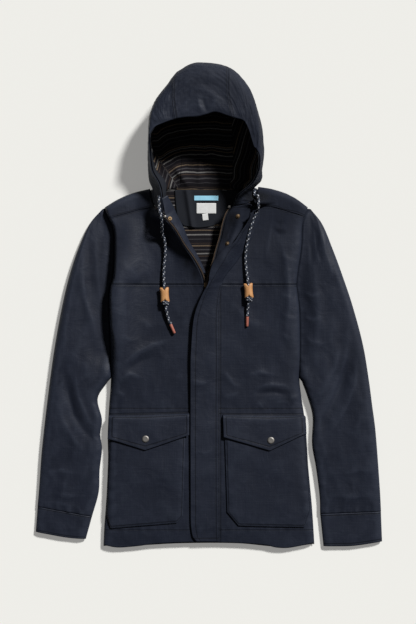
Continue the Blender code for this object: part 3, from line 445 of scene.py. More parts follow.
for side, word in NAMES.items():
    points = even(path(*CORD_WAY[side]), 0.7)
    mesh, length = braid("cord_" + word, points, CORD, BRAID_TURN)
    cord = belongs(link_mesh("cord_" + word, mesh, braided), "cord", "cord_" + side)
    tab = belongs(toggle("toggle_" + word, *TOGGLE_PLACE[side]), "leather",
                  "toggle_" + side)

    middle, along = np.array(KNOT_PLACE[side])
    wide = np.cross(along, (0, 0, 1.0))
    high = np.cross(wide, along)
    angle = KNOT_TURNS * 2 * np.pi
    loop = (middle + wide * (KNOT_HALF * np.cos(angle))[:, None]
            + high * (KNOT_RISE * np.sin(angle))[:, None]
            + along * (KNOT_LONG * (KNOT_TURNS - .65))[:, None])
    mesh, _ = braid("knot_" + word, loop, KNOT_CORD, KNOT_TURN, 32)
    knot = belongs(link_mesh("knot_" + word, mesh, braided), "cord", "knot_" + side)

    half = TIP_WIDE / 2
    tip = turned("tip_" + word, dipped, CORD_WAY[side][-1], TIP_DIRECTION[side],
                 ((0, .3), (half * .96, .3), (half, 1.2), (half * .97, 8), (half * .92, 15),
                  (half * .9, TIP_LONG - 1.0), (half * .7, TIP_LONG - .1), (0, TIP_LONG)))
    belongs(tip, "cord_tip", "tip_" + side)
    [[c * MM for c in p] for p in [*points[::6], points[-1]]]

# ------------------------------------------------------------------------ back, one piece
# Waxed cotton from hem to neck, flat on the table. It turns up at the side seams and
# along the shoulders, where the fronts and yokes are sewn to it.
CENTRE = np.array((0.0, -3.0, 0.0))    # the tables' origin, seen from the row's
CLOTH, HOOD_CLOTH, LINING, FACING = 1.6, 1.4, 1.0, 1.2              # thicknesses
GAP, LOOSE = 0.35, 0.3                 # at the seams, and more under a loose piece
SEAM_TOP, SEAM_BACK = 7.8, 5.4         # height of the side seam on the front and the back
CURL = 10.0                            # width over which the back turns up to it
UNDERARM = -150.0                      # where the side seam becomes the armhole's
BACK_WIDE, BACK_LONG, BACK_NECK = 425.0, 735.0, (-123, 103)
# WAXED_PALE is the paler wax of worn ridges and random slubs, and the colour of painted
# light; WAXED_DEEP is darker wax at random and the colour of painted shade; WAXED_SHADE is
# the near-black painted shade of stitch grooves and of the deepest painted shadows.
WAXED, WAXED_PALE = (.0145, .0178, .0293), (.0228, .0275, .0420)
WAXED_DEEP, WAXED_SHADE = (.0096, .0120, .0206), (.0022, .0027, .0046)


def smooth(t):
    """0 to 1 with soft ends."""
    t = np.clip(t, 0, 1)
    return t * t * (3 - 2 * t)


def quarter(distance, reach):
    """Quarter round: 0 on the edge, 1 from reach inwards."""
    t = np.clip(np.asarray(distance) / reach, 0, 1)
    return np.sqrt(1 - (1 - t) ** 2)


def curve(*knots):
    """Smooth number through (place, value) knots."""
    knots = sorted(knots)
    return bend([p for p, _ in knots], [v for _, v in knots])


def patch(u, v, bottom, top, left, right):
    """Flat patch between four lines: x and y at shares u of its width and v of its length."""
    low, high = bottom(u)[None], top(u)[None]
    one, two = left(v)[:, None], right(v)[:, None]
    u, v = u[None, :, None], v[:, None, None]
    ruled = low * (1 - v) + high * v + one * (1 - u) + two * u
    flat = ruled - ((low[:, :1] * (1 - u) + low[:, -1:] * u) * (1 - v)
                    + (high[:, :1] * (1 - u) + high[:, -1:] * u) * v)
    return flat[..., 0], flat[..., 1]


def spread(length, step, start=True, end=True):
    """Shares of a length about a step apart, closer where the cloth turns at its ends."""
    near = np.array([0, .12, .45, 1.0, 1.9, 3.1, 4.6, 6.5])
    low = near if start else near[:1]
    high = near if end else near[:1]
    count = max(int((length - low[-1] - high[-1]) / step), 1)
    middle = np.linspace(low[-1], length - high[-1], count + 1)[1:-1]
    return np.r_[low, middle, length - high[::-1]] / length


def facing_out(grid, flip=False, ring=False):
    """Unit normals of a grid of points."""
    if ring:
        across = np.roll(grid, -1, 1) - np.roll(grid, 1, 1)
    else:
        across = np.gradient(grid, axis=1)
    normal = np.cross(across, np.gradient(grid, axis=0))
    normal /= np.maximum(np.linalg.norm(normal, axis=2), 1e-9)[..., None]
    return -normal if flip else normal


def worn(grid, flip=False, ring=False):
    """How far each place stands out from the cloth round it: 1 on a ridge, 0 in a fold."""
    total = np.zeros(grid.shape[:2])
    normal = facing_out(grid, flip, ring)
    rows, columns = grid.shape[:2]
    for reach in (2, 5):
        around = np.zeros_like(grid)
        for di, dj in ((reach, 0), (-reach, 0), (0, reach), (0, -reach)):
            i = np.clip(np.arange(rows) + di, 0, rows - 1)
            j = np.arange(columns) + dj
            j = j % columns if ring else np.clip(j, 0, columns - 1)
            around += grid[i][:, j] / 4
        total += np.clip(((grid - around) * normal).sum(2) / (.10 * reach), -1, 1)
    return np.clip(.5 + total / 4, 0, 1)


LIGHT_AND_SHADE_PATCHES = (   # patches of painted light (above 0) and of painted shade and shadow (below 0): x, y, half widths, how much
    (-163, 216, 34, 12, .7),
    (-150, 120, 30, 60, .25),
    (-176, 138, 22, 56, -1.1),
    (-46, 92, 11, 20, -1.6),
    (-29, 64, 10, 18, -1.6),
    (-132, 218, 14, 22, -1.5),
    (112, 185, 48, 62, -.75),
    (172, 200, 42, 36, -.9),
    (148, 160, 13, 18, -.7),
    (116, 228, 28, 13, -.95),
    (200, 90, 30, 70, -.3),
    (-285, 90, 26, 90, .35),
    (-236, 60, 18, 90, -.5),
    (180, -130, 26, 60, -.5),
    (196, -320, 22, 110, -.5),
    (322, -60, 30, 130, -.5),
    (98, 320, 26, 120, -1),
    (50, 440, 40, 40, -.5),
    (-20, 470, 80, 40, -.35),
    (-30, 400, 46, 40, .45),
    (-108, 330, 26, 80, 1.2),
    (48, 184, 16, 26, -1.7),
    (34, 142, 12, 30, -1.7),
    (20, 106, 9, 22, -1.2),
    (82, 226, 22, 13, -1.3),
    (262, -180, 24, 60, .5),
)


def patch_light_and_shade(grid):
    """How much painted light (above 0) and painted shade (below 0) the patches put at each
    place.
    """
    x, y = grid[..., 0], grid[..., 1]
    return sum(much * np.exp(-((x - x0) / wide) ** 2 - ((y - y0) / high) ** 2)
               for x0, y0, wide, high, much in LIGHT_AND_SHADE_PATCHES)


def applied(obj):
    """The piece with its modifiers worked into a plain mesh."""
    graph = bpy.context.evaluated_depsgraph_get()
    mesh = bpy.data.meshes.new_from_object(obj.evaluated_get(graph),
                                           preserve_all_data_layers=True, depsgraph=graph)
    old, name = obj.data, obj.data.name
    obj.modifiers.clear()
    obj.data = mesh
    bpy.data.meshes.remove(old)
    mesh.name = name
    return obj


def cloth(name, finish, slot, node, grid, wall, flip=False, ring=False, keep=None,
          rests_on=(), declared=True, **measures):
    """A cut piece of cloth: its outer face as a grid in millimetres, and a wall behind.

    keep says which faces of the grid are cut from the cloth, and measures are numbers
    for each point that its finish reads.
    """
    mesh = grid_mesh(name, grid - CENTRE, ring)
    # numbers the waxed finish reads: how far each place stands out, for wear on ridges and
    # painted shade in folds, and the patches' painted light and shade
    measure(mesh, "worn", worn(grid, flip, ring))
    measure(mesh, "bloom", patch_light_and_shade(grid))
    for key, values in measures.items():
        measure(mesh, key, values)
    with editing(mesh) as bm:
        if keep is not None:
            bm.faces.ensure_lookup_table()
            gone = [bm.faces[i] for i in np.flatnonzero(~keep.ravel())]
            bmesh.ops.delete(bm, geom=gone, context="FACES")
        if flip:
            bmesh.ops.reverse_faces(bm, faces=bm.faces)
    obj = link_mesh(name, mesh, finish)
    thick = obj.modifiers.new("wall", "SOLIDIFY")
    thick.thickness = wall * MM
    thick.offset = -1
    applied(obj)
    belongs(obj, slot, node)
    return obj


def rows_sewn(finish):
    """How deep in a stitched row each place is: pairs beside a seam, and single rows, some of
    them lines of painted shade along edges.
    """
    pair = abs(abs(finish.measure("seam") - SEWN_ZERO) - PAIR_GAP)
    row = abs(finish.measure("row") - SEWN_ZERO)
    return (1 - pair * (1 / ROW_HALF)).within() + (1 - row * (1 / ROW_HALF)).within()


def sewn(*gaps):
    """A measure that reads SEWN_ZERO on several lines, from the distance past each."""
    gaps = np.stack(np.broadcast_arrays(*gaps))
    nearest = np.prod(np.where(gaps < 0, -1, 1), 0) * np.abs(gaps).min(0)
    return np.clip(nearest + SEWN_ZERO, 1, 99)


SEWN_ZERO = 50.0       # what a piece's "seam" and "row" measures read on their lines
PAIR_GAP, ROW_HALF = 2.6, 1.5          # a pair's rows from their seam, a row's half width

waxed = Finish("waxed cotton", WAXED, Roughness=0.52, Specular_IOR_Level=0.16)
where = waxed.place()
cloud = waxed.noise(where, 11.0, 4.0, .55, .6)
rub = waxed.noise(where, 95.0, 5.0, .62)
scuff = waxed.noise(waxed.place((1, .35, 1), .5), 60.0, 4.0, .6)
stand_out = waxed.measure("worn")
# depth in a stitched row or a line of painted shade: a groove in the bump, and painted shade
# in the colour
row_groove = rows_sewn(waxed).within()
bloom = waxed.measure("bloom")
warp = waxed.noise(waxed.place((1, .06, 1)), 420.0, 2.0, .6)
weft = waxed.noise(waxed.place((.06, 1, 1)), 420.0, 2.0, .6)
slub = (warp + weft) * .5
tone = waxed.mix((cloud * 2.6 - .8).within(), WAXED_DEEP, WAXED)
for amount, colour in (        # each over those before it
        # paler wax worn off the ridges
        (((stand_out - .54) * 1.2 + (rub - .5) * .7).within(0, .8), WAXED_PALE),
        # painted shade in the folds
        (((.44 - stand_out) * 1.6).within(0, .7), WAXED_DEEP),
        # painted light and painted shade of the patches, the deepest going towards near black
        (bloom.within(), WAXED_PALE),
        ((bloom * -1).within(), WAXED_DEEP),
        ((bloom * -1 - 1).within(), WAXED_SHADE),
        (((slub - .5) * 1.5).within(0, .6), WAXED_PALE),
        (((.5 - slub) * 1.5).within(0, .6), WAXED_DEEP),
        # painted shade in the stitch grooves and along the edge lines
        (row_groove * .85, WAXED_SHADE)):
    tone = waxed.mix(amount, tone, colour)
waxed.show("Base Color", tone)
waxed.show("Roughness", scuff * .20 + rub * .14 + .36 + (bloom * -1).within() * .35)
weave = waxed.noise(where, 2600.0, 2.0, .6)
crumple = waxed.noise(where, 26.0, 5.0, .5, .8)
waxed.bump((crumple, .0014), (slub, .0004), (1 - row_groove, .00025), (weave, .00010))

# side seam and, above the underarm, the armhole seam: (y, x)
SIDE = {
    "l": curve((-503, -221), (-459, -219), (-408, -215), (-308, -211), (-272, -212),
               (-207, -209), (-155, -205), (-71, -206), (-10, -208), (36, -207),
               (60, -200), (117, -197.5), (162, -200), (190, -213), (206, -218)),
    "r": curve((-500, 221), (-422, 216), (-369, 211), (-302, 205), (-260, 202),
               (-226, 199), (-195, 194), (-163, 189), (-115, 190), (-11, 189),
               (40, 183), (67, 185), (124, 193), (172, 195), (188, 200), (206, 207)),
}


def back_panel():
    tip_l, tip_r = (-217, 204), (206, 204)
    bottom = path((-221, -503), (-160, -503), (-60, -498), (60, -498), (160, -506),
                  (221, -499))
    top = path(tip_l, (-192, 221), (-159, 235), (-123.5, 243), (-60, 242.5), (50, 243),
               (104, 245), (134, 237), (165, 231), (186, 221), tip_r)
    left = path(*[(SIDE["l"](y), y) for y in range(-503, 205, 59)], tip_l)
    right = path(*[(SIDE["r"](y), y) for y in range(-499, 205, 59)], tip_r)
    u, v = spread(BACK_WIDE, 8), spread(BACK_LONG, 8, start=False)
    x, y = patch(u, v, bottom, top, left, right)
    side = np.broadcast_to(np.minimum(u, 1 - u) * BACK_WIDE, x.shape)
    shoulder = np.broadcast_to((1 - v)[:, None] * BACK_LONG, x.shape)
    lift = (1 - quarter(side, CURL)) * smooth((UNDERARM - y) / 30)
    beside_neck = (x < BACK_NECK[0]) | (x > BACK_NECK[1])
    lift = np.maximum(lift, (1 - quarter(shoulder, CURL)) * beside_neck)
    return np.dstack([x, y, SEAM_BACK * lift])


cloth("back_panel", waxed, "waxed_cotton", "back", back_panel(), CLOTH, flip=True)

# --------------------------------------------------------- striped lining inside the back
# Brushed cotton woven in fine tan, grey and brown lines on near black. It lies loose on
# the back and shows in the open neck. Each stripe is (start, width, colour) in a repeat.
STRIPE_REPEAT, STRIPE_START = 100.0, 68.3
LINING_BASE = (.0075, .0064, .0084)
TAN, PALE = (.150, .110, .072), (.190, .184, .176)
GREY, BROWN = (.062, .060, .063), (.046, .031, .022)
STRIPES = ((0, 2.6, TAN), (6.4, 1.6, BROWN), (17, 1.2, GREY), (26, 3.0, GREY),
           (35.4, 2.2, BROWN), (40.6, 2.4, PALE), (48.6, 2.4, GREY), (56.5, 2.8, TAN),
           (62.2, 1.4, BROWN), (71, 1.2, GREY), (79.6, 2.6, PALE), (89.4, 2.0, TAN),
           (96.2, 2.2, PALE))


def hills(x, y, size, seed):
    """Gentle rises and dips about a size apart, from -1 to 1. Each seed gives its own."""
    x, y = np.asarray(x) / size, np.asarray(y) / size
    i, j = np.floor(x), np.floor(y)
    fx, fy = x - i, y - j

    def corner(di, dj):
        turn = np.sin((i + di) * 127.1 + (j + dj) * 311.7 + seed * 74.7) * 43758.5453
        turn = (turn - np.floor(turn)) * 2 * np.pi
        return np.cos(turn) * (fx - di) + np.sin(turn) * (fy - dj)
    sx, sy = smooth(fx), smooth(fy)
    return 1.6 * ((corner(0, 0) * (1 - sx) + corner(1, 0) * sx) * (1 - sy)
                  + (corner(0, 1) * (1 - sx) + corner(1, 1) * sx) * sy)


striped = Finish("striped lining", LINING_BASE, Roughness=0.92, Specular_IOR_Level=0.15)
run = (striped.measure("stripe") * (1 / STRIPE_REPEAT)).maths("FRACT")
stops = []
for start, width, colour in STRIPES:
    stops += [(start / STRIPE_REPEAT, colour), ((start + width) / STRIPE_REPEAT, LINING_BASE)]
ramp = striped.node("ShaderNodeValToRGB", {"stops": stops}, {"Fac": run})
ramp.color_ramp.interpolation = "CONSTANT"
fluff = striped.noise(striped.place(), 900.0, 3.0, .7)
striped.show("Base Color", striped.mix((fluff * 1.5 - .45).within(0, .75),
                                       ramp.outputs["Color"], LINING_BASE))
striped.bump((fluff, .0005))
LINING_TOP = CLOTH + GAP + LINING
FACING_TOP = LINING_TOP + GAP + FACING


def back_lining():
    left = path((-206, -482), (-198, -300), (-192, -150), (-194, 0), (-194, 90),
                (-197, 180))
    right = path((206, -482), (192, -300), (177, -150), (176, 0), (172, 60), (182, 180))
    top = path((-197, 180), (-168, 212), (-128, 228), (-100, 241), (-12, 241), (86, 241),
               (110, 228), (150, 212), (182, 180))
    v = np.r_[np.linspace(0, .6, 40), np.linspace(.61, 1, 100)]
    x, y = patch(np.linspace(0, 1, 120), v, path((-206, -482), (206, -482)), top, left,
                 right)
    open_neck = smooth((y + 20) / 60) * smooth((160 - y) / 20) * smooth((100 - abs(x)) / 50)
    folds = (1.6 + 1.6 * hills(x, y, 55, 3) + .7 * hills(x * 1.5, y, 22, 4)) * open_neck
    return np.dstack([x, y, LINING_TOP + np.maximum(folds, 0)])


grid = back_lining()
cloth("back_lining_cloth", striped, "striped_lining", "back_lining", grid, LINING,
      rests_on=["back_panel"],
      stripe=grid[..., 1] - STRIPE_START + 1.5 * hills(grid[..., 0], grid[..., 1], 60, 8))

# ---------------------------------------------- neck facing, hanger tape, label, size tab
# A half moon of navy cotton is sewn inside the neck. On it a woven blue tape makes the
# hanger, with a bare woven label below it and a folded tab under that.
FACING_NAVY = (.0105, .0122, .0170)
cotton = Finish("navy cotton", FACING_NAVY, Roughness=0.85, Specular_IOR_Level=0.2)
slub = cotton.noise(cotton.place((1, 3, 1)), 700.0, 3.0, .6)
fade = cotton.noise(cotton.place(), 30.0, 3.0)
cotton.show("Base Color", cotton.mix((slub * .8 + fade * .8 - .45).within(),
                                     (.0080, .0092, .0128), (.0160, .0185, .0255)))
cotton.bump((slub, .0003))


def neck_facing():
    left = path((-52, 168), (-64, 182), (-69, 206), (-72, 243))
    right = path((8, 168), (34, 182), (56, 206), (66, 243))
    x, y = patch(np.linspace(0, 1, 56), np.linspace(0, 1, 30),
                 path((-52, 168), (-22, 164), (8, 168)), path((-72, 243), (66, 243)), left,
                 right)
    fold = 4.5 * np.exp(-((x + 46 - (238 - y) * .15) / 5.5) ** 2)
    return np.dstack([x, y, FACING_TOP + .3 + .3 * hills(x, y, 24, 5) + fold])


cloth("neck_facing_cloth", cotton, "navy_facing", "neck_facing", neck_facing(), FACING,
      rests_on=["back_lining_cloth"])


def woven(name, colour, second, pitch):
    """Tape woven in fine ribs."""
    finish = Finish(name, colour, Roughness=0.8)
    where = finish.place()
    ribs = finish.node("ShaderNodeTexWave", {"wave_type": "BANDS", "bands_direction": "X"},
                       {"Vector": where, "Scale": pitch, "Distortion": 1.0, "Detail": 2.0,
                        "Detail Scale": 3.0})
    height = Tone(finish, ribs.outputs["Fac"])
    patchy = finish.noise(where, 240.0, 3.0)
    finish.show("Base Color", finish.mix((height * .45 + patchy * .5).within(), second,
                                         colour))
    finish.bump((height, .0002))
    return finish


def tag(name, finish, slot, node, centre, size, turn=0.0, dip=0.0):
    """Small woven piece lying on the neck facing, its middle sagging by dip."""
    width, length, thick = size
    u, v = np.linspace(-.5, .5, 24), np.linspace(-.5, .5, 12)
    x, y = np.meshgrid(u * width, v * length)
    z = thick / 2 + dip * (np.cos(x / width * np.pi) - .5) + .15 * hills(x, y, 9, len(name))
    c, s = math.cos(turn), math.sin(turn)
    grid = np.dstack([centre[0] + x * c - y * s, centre[1] + x * s + y * c,
                      centre[2] + z])
    cloth(name, finish, slot, node, grid, thick, rests_on=["neck_facing_cloth"])


blue = woven("blue tape", (.330, .660, .830), (.270, .580, .760), 190.0)
white = woven("white label", (.80, .80, .78), (.66, .66, .65), 320.0)
TAG_HEIGHT = FACING_TOP + GAP + .5
tag("hanger_tape", blue, "blue_tape", "loop_tape", (-6, 226, TAG_HEIGHT), (51, 10, .8),
    dip=.5)
tag("label_cloth", white, "white_label", "neck_label", (-5.5, 204.5, TAG_HEIGHT),
    (41, 22, .6))
tag("size_tab_cloth", white, "white_label", "size_tab", (-7.5, 186.5, TAG_HEIGHT + .4),
    (12, 14, .6), turn=.12)

# --------------------------------------------------------------------------- lower fronts
# Waxed cotton from the chest seam to the hem, rolled over at the side seam and felled to
# the upper front. Creases are laid in one by one, each as (height, half width, line), and a
# trough's height is negative.
FRONT_WIDE, FRONT_LONG, CELL = 205, 540, 2.6
ROUND, STEEP_ROUND, SHOULDER_ROUND = 16.0, 7.0, 13.0    # widths over which it rolls
LAPEL_REACH, LAPEL_ROLL = 60.0, 42.0                    # of the open edges' rise
EDGE = {   # free edge of each front, closed below the neck and open above: (y, x)
    "l": curve((-503, -11), (0, -11), (44, -11), (67, -17), (98, -34), (126, -54),
               (159, -74), (185, -97), (200, -107), (215, -116), (232, -121)),
    "r": curve((-503, -1), (0, -1), (44, -1), (67, 3), (96, 13), (116, 18), (139, 25),
               (165, 31), (186, 37), (207, 50), (210, 66), (214, 80), (221, 90),
               (232, 97)),
}
RISE = {   # how far that edge stands above the front: (y, rise)
    "l": curve((-300, 0), (0, 3), (44, 5), (78, 10), (98, 14), (126, 22), (159, 32),
               (185, 39), (200, 24), (215, 11), (232, 3), (245, 0)),
    "r": curve((-300, 0), (0, 3), (44, 5), (67, 8), (96, 12), (139, 20), (165, 26),
               (186, 32), (207, 36), (214, 28), (221, 16), (232, 6), (246, 0)),
}
# how far the right edge turns in under itself, and over what width, by y
TURN_IN = curve((50, 0), (80, 4), (110, 9), (140, 13), (186, 15), (207, 14), (216, 0))
TURN_WIDTH = curve((44, 6), (84, 9), (116, 17), (139, 25), (165, 31), (207, 35))
SHOULDER = {   # the far edge of each yoke: (x, y)
    "l": curve((-218, 206), (-192, 222), (-159, 236), (-123, 245)),
    "r": curve((103, 249), (118, 248), (134, 244), (146, 240), (165, 233), (186, 222.5),
               (207, 206)),
}
VALLEY = {"l": 9.0, "r": 13.0}         # height of the armhole seam
# height of the fronts away from their seams, by y
CROWN = curve((-503, 13), (-450, 17), (-300, 19), (-214, 17.5), (-100, 19), (44, 20),
              (120, 20), (200, 18))
CHEST_SEAM, WAIST_LINE, HEM_LINE = 44.0, -214.0, -468.0
FULL = {               # how much fuller each front lies beside its side seam, by y
    "l": curve((-215, 0), (-170, 4), (-120, 10), (-60, 18), (0, 23), (70, 22), (130, 14),
               (190, 4)),
    "r": curve((-215, 0), (0, 3), (190, 2)),
}
FULL_AT, FULL_WIDTH = 14.0, 38.0       # from the side seam
BODY_CREASES = (
    (4.4, 11, ((-178, -121), (-148, -97), (-119, -81), (-82, -72))),
    (-2.0, 9, ((-182, -138), (-140, -114), (-100, -99))),
    (2.6, 8, ((-190, -157), (-165, -142), (-138, -149))),
    (1.8, 6, ((-208, -186), (-190, -181), (-170, -187))),
    (.9, 10, ((-192, 148), (-184, 92), (-150, 64), (-133, 73), (-126, 102), (-104, 114))),
    (-1.4, 11, ((-196, 60), (-150, 40), (-112, 70))),
    (1.2, 14, ((-170, -20), (-120, -40), (-60, -35))),
    (1.0, 9, ((-190, -60), (-160, -72), (-140, -66))),
    (3.6, 9, ((92, -171), (130, -165), (158, -167), (176, -176))),
    (-3.0, 7, ((96, -183), (138, -180), (172, -188))),
    (2.2, 6, ((165, -194), (196, -186))),
    (2.0, 8, ((74, -142), (111, -138), (142, -147))),
    (1.5, 8, ((27, -130), (52, -163), (72, -170))),
    (1.2, 7, ((28, -190), (66, -180))),
    (1.2, 6, ((102, -196), (114, -216))),
    (2.6, 9, ((146, 150), (162, 92), (170, 30), (163, -30), (158, -92))),
    (-1.6, 6, ((182, 120), (176, 60), (180, 10), (176, -60))),
    (1.0, 6, ((150, 108), (170, 96), (186, 98))),
    (1.0, 6, ((150, 66), (168, 74), (184, 68))),
    (1.0, 6, ((146, 26), (166, 18), (184, 22))),
    (1.0, 6, ((150, -14), (168, -26), (186, -24))),
    (.9, 6, ((148, -56), (166, -66), (184, -64))),
    (-9.0, 8, ((64, 216), (57, 190), (47, 162), (37, 136), (22, 98))),
    (3.0, 4, ((50, 208), (41, 181), (30, 142), (17, 104))),
    (2.0, 6, ((131, 196), (129, 162), (123, 122), (118, 88))),
    (-2.4, 4, ((134, 178), (146, 171), (160, 176))),
    (1.8, 4, ((135, 168), (148, 160), (162, 166))),
    (-2.2, 4, ((136, 158), (148, 149), (162, 155))),
    (1.2, 12, ((40, 20), (80, -30), (130, -50))),
)


def trail(x, y, points):
    """Distance of places from a line of points, below 0 on its right, and its share there."""
    points = np.array(points, float)
    steps = np.linalg.norm(np.diff(points, axis=0), axis=1)
    run = np.r_[0, np.cumsum(steps)]
    away, share, turn = np.full(np.shape(x), 1e9), np.zeros(np.shape(x)), 1.0
    for (x0, y0), (x1, y1), start, length in zip(points, points[1:], run, steps):
        dx, dy = (x1 - x0) / length, (y1 - y0) / length
        along = np.clip((x - x0) * dx + (y - y0) * dy, 0, length)
        gap = np.hypot(x - x0 - along * dx, y - y0 - along * dy)
        share = np.where(gap < away, (start + along) / run[-1], share)
        left = np.where((y - y0) * dx - (x - x0) * dy < 0, -1.0, 1.0)
        turn = np.where(gap < away, left, turn)
        away = np.minimum(gap, away)
    return away * turn, share


def creased(table, x, y):
    """Height of listed ridges and troughs. Each dies away at both ends, and is steeper
    on one side, where the cloth tips over, with a wide soft foot."""
    total = np.zeros(np.shape(x))
    for height, width, points in table:
        away, share = trail(x, y, points)
        t = away / width * np.where(away * height > 0, 1.5, .8)
        total += height * np.sin(np.pi * share) ** 1.3 * (
            .55 / (1 + t * t) ** 2 + .45 / (1 + (t / 2.6) ** 2) ** 2)
    return total


def puckered(along, away, seed, reach=8.0, size=12.0, height=.5):
    """Little gathers that a row of stitches pulls into the cloth beside it."""
    return height * hills(along, away * .3, size, seed) * np.exp(-(away / reach) ** 2)


def felled(away, half, height):
    """Raised band of a seam whose turnings are folded under and sewn down."""
    return height * np.exp(-(away / half) ** 4)


def front_base(half, x, y):
    """Outer face of a front above the table, before its creases."""
    sign = SIGN[half]
    side = sign * (SIDE[half](y) - x)
    seam = SEAM_TOP + (VALLEY[half] - SEAM_TOP) * smooth((y - UNDERARM) / 40)
    crown = CROWN(y) + FULL[half](np.clip(y, -215, 190)) * np.exp(
        -((side - FULL_AT) / FULL_WIDTH) ** 2)
    steep = smooth((y + 90) / 50) if half == "l" else 0.0
    body = seam + (crown - seam) * quarter(side, ROUND + (STEEP_ROUND - ROUND) * steep)
    inside = sign * (x - EDGE[half](y))
    if half == "l":
        body = body + RISE["l"](y) * (1 - np.clip(inside / LAPEL_ROLL, 0, 1)) ** 2
    else:
        body = body + RISE["r"](y) * (1 - smooth(inside / LAPEL_REACH))
        body = body - TURN_IN(y) * (1 - smooth(inside / TURN_WIDTH(y)))
    shoulder = quarter(SHOULDER[half](x) - y, SHOULDER_ROUND)
    return np.where(y > 150, SEAM_TOP + (body - SEAM_TOP) * shoulder, body)


def front_height(half, x, y):
    """The same with its creases, seams and gathers."""
    x, y = np.broadcast_arrays(np.asarray(x, float), np.asarray(y, float))
    side = SIGN[half] * (SIDE[half](y) - x)
    free = smooth(side / 22)
    relief = creased(BODY_CREASES, x, y)
    relief += 1.1 * hills(x, y, 78, 1) + .40 * hills(x, y, 33, 2)
    relief += .5 * hills(x, y * .45, 20, 6) * smooth((y + 240) / 40) * smooth((190 - y) / 50)
    relief *= free * (1 - .6 * smooth((y - 150) / 40))
    for line, seed in ((CHEST_SEAM, 21), (WAIST_LINE, 22), (HEM_LINE, 23)):
        relief += puckered(x, np.abs(y - line), seed) * smooth(side / 6)
    relief += felled(np.abs(y - CHEST_SEAM), 5.0, .4) * smooth(side / 8)
    relief += puckered(y, np.abs(side - 6), 24, 12, 15, .7) * smooth(side / 5)
    return front_base(half, x, y) + relief


def on_front(half, x, y, lift=0.0):
    """Places on a front's outer face, moved out along its normal."""
    z = front_height(half, x, y)
    slope_x = (front_height(half, x + 1, y) - front_height(half, x - 1, y)) / 2
    slope_y = (front_height(half, x, y + 1) - front_height(half, x, y - 1)) / 2
    normal = unit(np.stack([-slope_x, -slope_y, np.ones_like(z)], -1))
    return np.stack(np.broadcast_arrays(x, y, z), -1) + normal * np.asarray(lift)[..., None]


def front_piece(kind, side, x, y, lift=0.0, **more):
    """A waxed piece of a front, or lying on it by a lift."""
    cloth(f"{kind}_{NAMES[side]}", waxed, "waxed_cotton", f"{kind}_{side}",
          on_front(side, x, y, lift), CLOTH, flip=side == "r", **more)


def on_line(table, y):
    """Where a line given as x at each y crosses y."""
    return float(table(y)), y


def line_through(table, ys):
    """A line given as x at each y, as a path through its points at some values of y."""
    return path(*[on_line(table, y) for y in ys])


def line_of(table, y0, y1, count):
    """The same from y0 to y1, in count spans."""
    return line_through(table, np.linspace(y0, y1, count + 1))


def line_over(table, xs):
    """A line given as y at each x, as a path through its points at some values of x."""
    return path(*[(x, float(table(x))) for x in xs])


HEM = {   # from the side seam to the free edge
    "l": path((-221, -500), (-192, -505), (-157, -503), (-106, -497), (-35, -494),
              (-11, -495)),
    "r": path((221, -495), (195, -501), (165, -506), (140, -505), (119, -500),
              (60, -496), (-1, -495)),
}
FLAP_TOP_SHADE = {   # lines of painted shade on the fronts just above the pocket flaps' tops
    "l": curve((-206, -225.5), (-41, -221.5)),
    "r": curve((29, -224.5), (197, -225.5)),
}
STORM_EDGE_SHADE = {"l": -999.0, "r": 24.5}  # and a line of painted shade beside the storm flap's sewn edge, on the right only

for side in NAMES:
    y1 = CHEST_SEAM - GAP / 2
    x, y = patch(spread(FRONT_WIDE, CELL, end=False), spread(FRONT_LONG, CELL, False, False),
                 HEM[side], path(on_line(SIDE[side], y1), on_line(EDGE[side], y1)),
                 line_of(SIDE[side], HEM[side](0)[1], y1, 12),
                 line_of(EDGE[side], HEM[side](1)[1], y1, 4))
    front_piece("front", side, x, y, rests_on=["back_lining_cloth"],
                seam=sewn(y - CHEST_SEAM),
                # The rows paint shade into the waist and hem stitch grooves, and lines of
                # painted shade above the flaps' tops and beside the storm flap's sewn edge.
                row=sewn(y - WAIST_LINE, y - HEM_LINE, y - FLAP_TOP_SHADE[side](x),
                         x - STORM_EDGE_SHADE[side]))

# --------------------------------------------------------------------------- upper fronts
# Waxed cotton again, cut separately from the chest seam to the yoke and felled to both.
# Each has its free edge standing open beside the zip.
CHEST_WIDE, CHEST_LONG = 190, 158
YOKE_SEAM = {
    "l": curve((-216, 181), (-169, 194), (-135, 203), (-114, 206)),
    "r": curve((97, 207), (140, 206), (157, 199), (182, 194), (202, 186)),
}
YOKE_CORNER = {"l": -114.0, "r": 98.0}
YOKE_GAP, YOKE_FROM = 0.5, 186.0       # the seam starts from about this y
NECK = {   # foot of the hood on each front, from the zip's top to the shoulder
    "l": ((-97, 186), (-107, 200), (-116, 215), (-121, 232), (-122, 244)),
    "r": ((50, 207), (66, 210), (80, 213), (91, 219), (98, 231), (102, 246)),
}
NECK_CORNERS = {"l": ((-108.5, 199),), "r": ((80, 211.5), (66, 208.5))}

def yoke_start(side):
    """x where the yoke's seam meets the armhole."""
    return float(SIDE[side](YOKE_SEAM[side](SIDE[side](YOKE_FROM))))


for side in NAMES:
    seam, y0, outer = YOKE_SEAM[side], CHEST_SEAM + GAP / 2, yoke_start(side)
    edge_top = NECK[side][0][1] - 1.0
    shares = np.array((0, .35, .7, 1)) * (YOKE_CORNER[side] - outer) + outer
    top = [(x, float(seam(x)) - YOKE_GAP) for x in shares]
    top += [*NECK_CORNERS[side], on_line(EDGE[side], edge_top)]
    x, y = patch(spread(CHEST_WIDE, CELL, end=False), spread(CHEST_LONG, CELL, False, False),
                 path(on_line(SIDE[side], y0), on_line(EDGE[side], y0)), path(*top),
                 line_of(SIDE[side], y0, top[0][1], 8),
                 line_of(EDGE[side], y0, edge_top, 10))
    front_piece("chest", side, x, y, rests_on=["back_lining_cloth"],
                seam=sewn(y - CHEST_SEAM, y - seam(x)))

